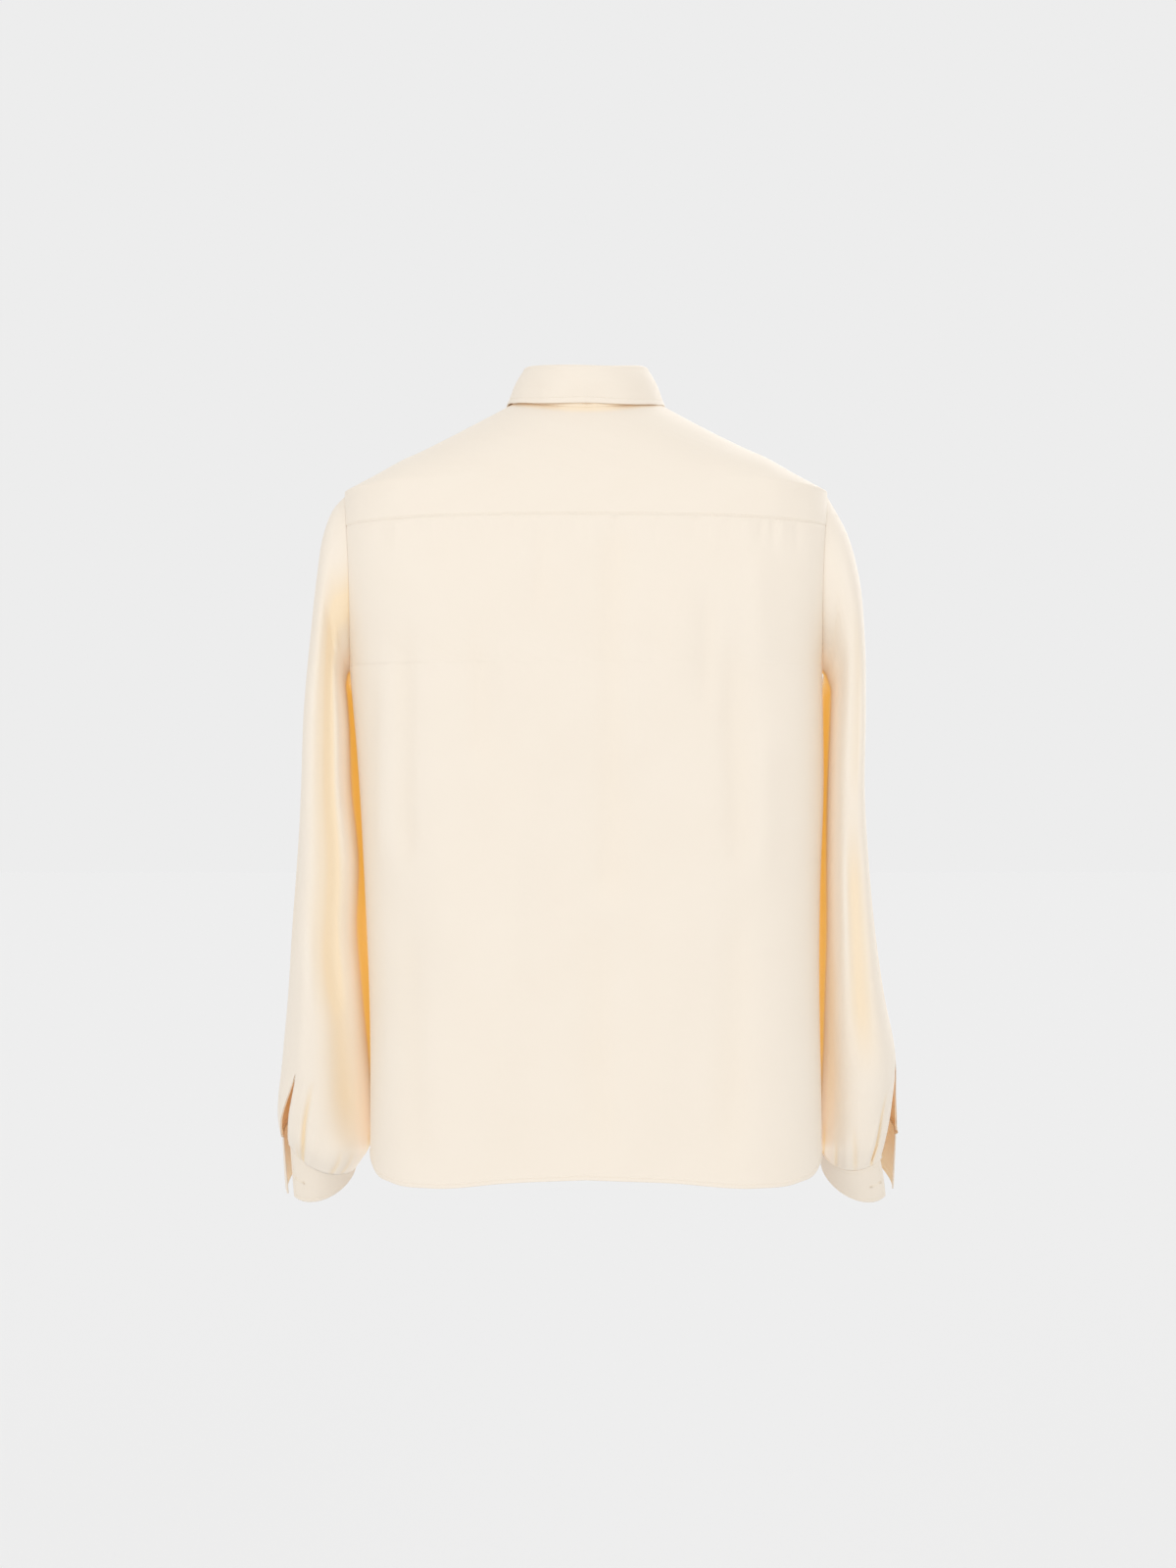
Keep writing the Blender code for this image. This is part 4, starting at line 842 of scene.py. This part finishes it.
def river_shell():
    """River shell, polished: layers of pearl that shift between cream, rose and grey over a few millimetres."""
    made, tree, shader = material("polished river shell")
    place = add(tree, "ShaderNodeTexCoord").outputs["Object"]
    layers = add(tree, "ShaderNodeTexNoise", {"Vector": place, "Scale": 260.0, "Detail": 4.0, "Distortion": 1.6})
    ramp = add(tree, "ShaderNodeValToRGB", {"Fac": layers.outputs["Fac"]})
    ramp.color_ramp.elements[0].color, ramp.color_ramp.elements[0].position = srgb("DAD3CB"), 0.3
    ramp.color_ramp.elements[1].color, ramp.color_ramp.elements[1].position = srgb("F6EFE6"), 0.7
    ramp.color_ramp.elements.new(0.5).color = srgb("EEDFD6")
    ripple = add(tree, "ShaderNodeBump", {"Height": layers.outputs["Fac"], "Strength": 0.15, "Distance": 0.0002})
    tree.links.new(ramp.outputs["Color"], shader.inputs["Base Color"])
    tree.links.new(ripple.outputs["Normal"], shader.inputs["Normal"])
    shader.inputs["Roughness"].default_value = 0.22
    shader.inputs["IOR"].default_value = 1.53
    shader.inputs["Coat Weight"].default_value = 0.5
    shader.inputs["Coat Roughness"].default_value = 0.08
    return made


def silk_thread():
    """Twisted silk sewing thread, a shade deeper than the cloth. Its plies are 0.1 mm, drawn at about 0.5 mm."""
    made, tree, shader = material("twisted silk thread")
    place = add(tree, "ShaderNodeTexCoord").outputs["Object"]
    plies = add(tree, "ShaderNodeTexNoise", {"Vector": place, "Scale": 2000.0, "Detail": 1.0}).outputs["Fac"]
    colour = mixed(tree, plies, srgb("EADCC6"), srgb("F5EBDB"))
    twist = add(tree, "ShaderNodeBump", {"Height": plies, "Strength": 0.3, "Distance": 0.0001})
    tree.links.new(colour, shader.inputs["Base Color"])
    tree.links.new(twist.outputs["Normal"], shader.inputs["Normal"])
    shader.inputs["Roughness"].default_value = 0.42
    shader.inputs["Sheen Weight"].default_value = 0.2
    return made


shell_finish, thread_finish = river_shell(), silk_thread()
blank = placed("button_blank", mesh_of("button_blank", *turned(BUTTON_PROFILE), (shell_finish,)), "shell")
drill_points, drill_faces = turned([(0, -3), (HOLE_RADIUS, -3), (HOLE_RADIUS, 3), (0, 3)], 16)
drills = together([(drill_points + (HOLE_PLACE * i, HOLE_PLACE * j, 0), drill_faces)
                   for i in (-1, 1) for j in (-1, 1)])
drill = bpy.data.objects.new("drill", mesh_of("drill", *drills, ()))
bpy.context.scene.collection.objects.link(drill)
cut = blank.modifiers.new("holes", "BOOLEAN")
cut.operation, cut.solver, cut.object = "DIFFERENCE", "EXACT", drill
bpy.context.view_layer.update()
drilled = bpy.data.meshes.new_from_object(blank.evaluated_get(bpy.context.evaluated_depsgraph_get()))
for helper in (blank, drill):
    bpy.data.objects.remove(helper)
arch = np.linspace(0, np.pi, 11)
sewn = [tube(np.stack([-HOLE_PLACE * np.cos(arch), 0 * arch + HOLE_PLACE * j, -0.9 + 1.75 * np.sin(arch)], axis=-1),
             THREAD_RADIUS) for j in (-1, 1)]
shank_end = -1.0 - SHANK_LENGTH
sewn.append(turned([(0, -1.0), (SHANK_RADIUS, -1.0), (SHANK_RADIUS * 0.8, shank_end), (0, shank_end)], 16))
sewing = mesh_of("sewing", *together(sewn), (thread_finish,))
bm = bmesh.new()
bm.from_mesh(drilled)
shell_faces = len(bm.faces)
bm.from_mesh(sewing)
bm.faces.ensure_lookup_table()
for face in bm.faces[shell_faces:]:
    face.material_index = 1
whole_button = bpy.data.meshes.new("whole_button")
bm.to_mesh(whole_button)
bm.free()
whole_button.set_sharp_from_angle(angle=np.radians(40))


def button_lie(node, outwards):
    """A button's middle, in millimetres, and the way it faces, square to the largest of its solid's faces."""
    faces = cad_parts[node].data.polygons
    normal = max(faces, key=lambda face: face.area).normal.normalized()
    lowest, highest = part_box(node)
    middle = (lowest + highest) / 2 / TO_METRES
    return middle, normal if normal.dot(Vector(outwards(np.array(middle)))) > 0 else -normal


def sew_button(name, node, outwards):
    """Puts a copy of the button where its solid is, and gives back its place and the way it faces."""
    middle, normal = button_lie(node, outwards)
    mesh = whole_button.copy()
    mesh.name = name
    for finish in (shell_finish, thread_finish):
        mesh.materials.append(finish)
    turn = normal.to_track_quat("Z", "Y").to_matrix().to_4x4()
    mesh.transform(Matrix.Translation(middle * TO_METRES) @ turn @ Matrix.Scale(TO_METRES, 4))
    placed(name, mesh, "shell", node)
    return np.array(middle), np.array(normal)


HOLE_LENGTH, HOLE_WIDTH, BEAD = 13.0, 1.5, (0.75, 0.32)     # a buttonhole, and its satin bead's half-width and height


def buttonhole(middle, normal, along):
    """A buttonhole: a bead of satin stitches round a slit. It is a flattened tube along a long oval, ribbed once
    for each stitch."""
    along = along - normal * (along @ normal)
    along /= np.linalg.norm(along)
    across = np.cross(normal, along)
    turn = np.linspace(0, 2 * np.pi, 180, endpoint=False)[:, None]
    section = np.linspace(0, 2 * np.pi, 10, endpoint=False)
    rib = 1 + 0.12 * np.sin(60 * turn)
    u = (HOLE_LENGTH / 2 - HOLE_WIDTH / 2) * np.sign(np.cos(turn)) * np.abs(np.cos(turn)) ** 0.5
    v = (HOLE_WIDTH / 2) * np.sign(np.sin(turn)) * np.abs(np.sin(turn)) ** 0.35
    push = BEAD[0] * rib * np.cos(section)
    points = (middle + along * (u + push * np.cos(turn))[..., None] + across * (v + push * np.sin(turn))[..., None]
              + normal * (BEAD[1] * rib * np.sin(section))[..., None])
    faces = numbered(len(turn), len(section), True)
    last = np.stack([np.arange(10) + (len(turn) - 1) * 10, np.roll(np.arange(10), -1) + (len(turn) - 1) * 10,
                     np.roll(np.arange(10), -1), np.arange(10)], axis=-1)
    return points.reshape(-1, 3) * TO_METRES, np.concatenate([faces, last])


UP = np.array([0.0, 0.0, 1.0])
ON_CLOTH = SILK_WALL / 2 + 0.1
holes = []
for number in range(1, 7):
    middle, normal = sew_button(f"shell_button_{number}", f"front_button_{number}", lambda at: (0, -1, 0))
    holes.append(buttonhole(middle - normal * (BUTTON_STAND_OFF - ON_CLOTH), normal, UP))
middle, normal = sew_button("shell_neck_button", "neck_button", lambda at: (0, -1, 0))
holes.append(buttonhole(middle - normal * (BUTTON_STAND_OFF - COLLAR_WALL / 2 - 0.1), normal, np.cross(UP, normal)))
for side, name in ((LEFT, "left_cuff"), (RIGHT, "right_cuff")):
    grid, centre = cuff_grids[side]
    hub = centre.mean(axis=(0, 1))
    sew_button(f"shell_{name}_button", f"{name}_button", lambda at: at - hub)
    row, column = len(grid) // 2, int(np.argmin(np.abs(lengths(grid)[len(grid) // 2] - 12)))
    normal = facing(grid, grid - centre)[row, column]
    holes.append(buttonhole(grid[row, column] + normal * (COLLAR_WALL / 2 - 0.12), normal,
                            grid[row, column + 3] - grid[row, column - 3]))
placed("thread_buttonholes", mesh_of("thread_buttonholes", *together(holes), (thread_finish,)), "silk")


# --- Stitching -----------------------------------------------------------------------------------------------
# Lines of lock stitches in silk thread hold the hem, the yoke's edge and the front bands, and run close to the
# edges of the collar, the stand and the cuffs.

STITCH_PITCH, STITCH_LENGTH, STITCH_WIDTH, STITCH_HEIGHT = 3.0, 2.2, 0.42, 0.16
HEM_STITCH, YOKE_STITCH, BAND_STITCH, STAND_STITCH = 3.2, 2.0, 1.8, 2.0
STITCH_POINTS = np.array([(-0.5, 0, -0.6)] + [(k, y, z) for k in (-0.25, 0.25)
                                              for y, z in ((0, 1), (0.5, 0), (0, -1), (-0.5, 0))] + [(0.5, 0, -0.6)])
STITCH_FACES = ([(0, 1, 2, 2), (0, 2, 3, 3), (0, 3, 4, 4), (0, 4, 1, 1)]
                + [(k, k + 4, k % 4 + 5, k % 4 + 1) for k in (1, 2, 3, 4)]
                + [(9, 6, 5, 5), (9, 7, 6, 6), (9, 8, 7, 7), (9, 5, 8, 8)])


def beside_edge(grid, away, inset, wall, ends=0.0):
    """A line on the outside of a piece at this distance in from its first row, less its ends, and its normals."""
    columns, normals = grid.transpose(1, 0, 2), facing(grid, away).transpose(1, 0, 2)
    near = np.abs(lengths(columns) - inset).argmin(axis=1)
    up = normals[np.arange(len(columns)), near]
    line = points_along(columns, np.full((len(columns), 1), inset))[:, 0] + up * wall / 2
    along = lengths(line)
    kept = (along >= ends) & (along <= along[-1] - ends)
    return line[kept], up[kept]


def stitched(name, runs):
    """Stitches along lines: bars of thread, each tapering to both its ends, a pitch apart."""
    lots = []
    for line, up in runs:
        length = lengths(line)
        at = np.arange(STITCH_PITCH / 2, length[-1] - STITCH_LENGTH / 2, STITCH_PITCH)

        def on(values, where):
            return np.stack([np.interp(where, length, values[:, k]) for k in range(3)], axis=-1)

        tangent = on(line, at + STITCH_LENGTH / 2) - on(line, at - STITCH_LENGTH / 2)
        tangent /= np.linalg.norm(tangent, axis=-1, keepdims=True)
        normal = on(up, at)
        across = np.cross(normal, tangent)
        size = STITCH_POINTS * (STITCH_LENGTH, STITCH_WIDTH, STITCH_HEIGHT)
        points = (on(line, at)[:, None] + tangent[:, None] * size[None, :, :1] + across[:, None] * size[None, :, 1:2]
                  + normal[:, None] * (size[None, :, 2:] + 0.04))
        faces = np.array(STITCH_FACES)[None] + 10 * np.arange(len(at))[:, None, None]
        lots.append((points.reshape(-1, 3) * TO_METRES, faces.reshape(-1, 4)))
    points, faces = together(lots)
    mesh = bpy.data.meshes.new(name)
    mesh.from_pydata(points.tolist(), [], [face[:3] if face[2] == face[3] else face for face in faces.tolist()])
    mesh.materials.append(thread_finish)
    mesh.shade_smooth()
    placed(name, mesh, "silk")


stitched("thread_back", [beside_edge(back_grid, back_grid - TORSO_MIDDLE, HEM_STITCH, SILK_WALL, 2.0),
                         beside_edge(yoke_grid, yoke_grid - TORSO_MIDDLE, YOKE_STITCH, SILK_WALL, 2.0)])
front_lines = []
for side in (LEFT, RIGHT):
    grid = front_grids[side]
    upright = grid.transpose(1, 0, 2)
    front_lines.append(beside_edge(grid, grid - TORSO_MIDDLE, HEM_STITCH, SILK_WALL, 2.0))
    for inset in (BAND_STITCH, BAND - BAND_STITCH):
        front_lines.append(beside_edge(upright, upright - TORSO_MIDDLE, inset, SILK_WALL, 2.0))
stitched("thread_fronts", front_lines)
stitched("thread_collar", [beside_edge(grid, away, inset, COLLAR_WALL, inset) for grid, away, inset in (
    (fall_grid[::-1], fall_away[::-1], COLLAR_STITCH), (stand_grid, stand_away, STAND_STITCH),
    (stand_grid[::-1], stand_away[::-1], STAND_STITCH))])
cuff_lines = []
for side in (LEFT, RIGHT):
    grid, centre = cuff_grids[side]
    for lines in (grid, grid[::-1], grid.transpose(1, 0, 2), grid[:, ::-1].transpose(1, 0, 2)):
        cuff_lines.append(beside_edge(lines, lines - centre.mean(axis=(0, 1)), CUFF_STITCH, COLLAR_WALL, CUFF_STITCH))
stitched("thread_cuffs", cuff_lines)


# --- Studio --------------------------------------------------------------------------------------------------
# A pale floor at the height of the wearer's feet, even light all round with a large soft lamp on either side of
# the back, and a level camera behind the blouse.

FLOOR_Z, FLOOR_HALF = -1.45, 30.0
EYE_DISTANCE, VIEW_HEIGHT = 2.2, 1.36       # metres, at the plane of the side seams
MIDDLE_X, MIDDLE_Z = -0.0017, -0.3277
WALL_LIGHT, FLOOR_PAINT = "EDEDED", "EDEDED"    # so that the lit floor is as light as the wall round it
SENSOR_HEIGHT = 24.0            # millimetres
PALE_CLOTH_BOUNCES = 12         # light goes to and fro many times between pale silks
# Far soft lamps: the way each shines, how wide it looks in degrees, and its power.
LAMPS = [("soft lamp behind left", (-0.52, -0.82, -0.24), 40, 0.51),
         ("soft lamp behind right", (0.40, -0.88, -0.24), 40, 0.44),
         ("soft lamp in front", (0.40, 0.82, -0.40), 50, 0.70)]

plane = bpy.data.meshes.new("floor")
plane.from_pydata([(-FLOOR_HALF, -FLOOR_HALF, FLOOR_Z), (FLOOR_HALF, -FLOOR_HALF, FLOOR_Z),
                   (FLOOR_HALF, FLOOR_HALF, FLOOR_Z), (-FLOOR_HALF, FLOOR_HALF, FLOOR_Z)], [], [(0, 1, 2, 3)])
floor = bpy.data.objects.new("floor", plane)
bpy.context.scene.collection.objects.link(floor)
floor_paint = bpy.data.materials.new("matt pale paint")
floor_paint.use_nodes = True
paint = floor_paint.node_tree.nodes["Principled BSDF"]
paint.inputs["Base Color"].default_value = srgb(FLOOR_PAINT)
paint.inputs["Roughness"].default_value = 1.0
paint.inputs["Specular IOR Level"].default_value = 0.0
plane.materials.append(floor_paint)

world = bpy.data.worlds.new("studio")
world.use_nodes = True
world.node_tree.nodes["Background"].inputs["Color"].default_value = srgb(WALL_LIGHT)
bpy.context.scene.world = world

for lamp, towards, spread, power in LAMPS:
    light = bpy.data.lights.new(lamp, "SUN")
    light.energy, light.angle = power, np.radians(spread)
    holder = bpy.data.objects.new(lamp, light)
    holder.rotation_euler = Vector(towards).to_track_quat("-Z", "Y").to_euler()
    bpy.context.scene.collection.objects.link(holder)

camera = bpy.data.objects.new("camera", bpy.data.cameras.new("camera"))
camera.data.sensor_fit = "VERTICAL"
camera.data.sensor_height = SENSOR_HEIGHT
camera.data.lens = SENSOR_HEIGHT * EYE_DISTANCE / VIEW_HEIGHT
camera.location = (MIDDLE_X, EYE_DISTANCE, MIDDLE_Z)
camera.rotation_euler = (np.pi / 2, 0, np.pi)
bpy.context.scene.collection.objects.link(camera)
bpy.context.scene.camera = camera
bpy.context.scene.view_settings.view_transform = "Standard"
bpy.context.scene.cycles.diffuse_bounces = PALE_CLOTH_BOUNCES
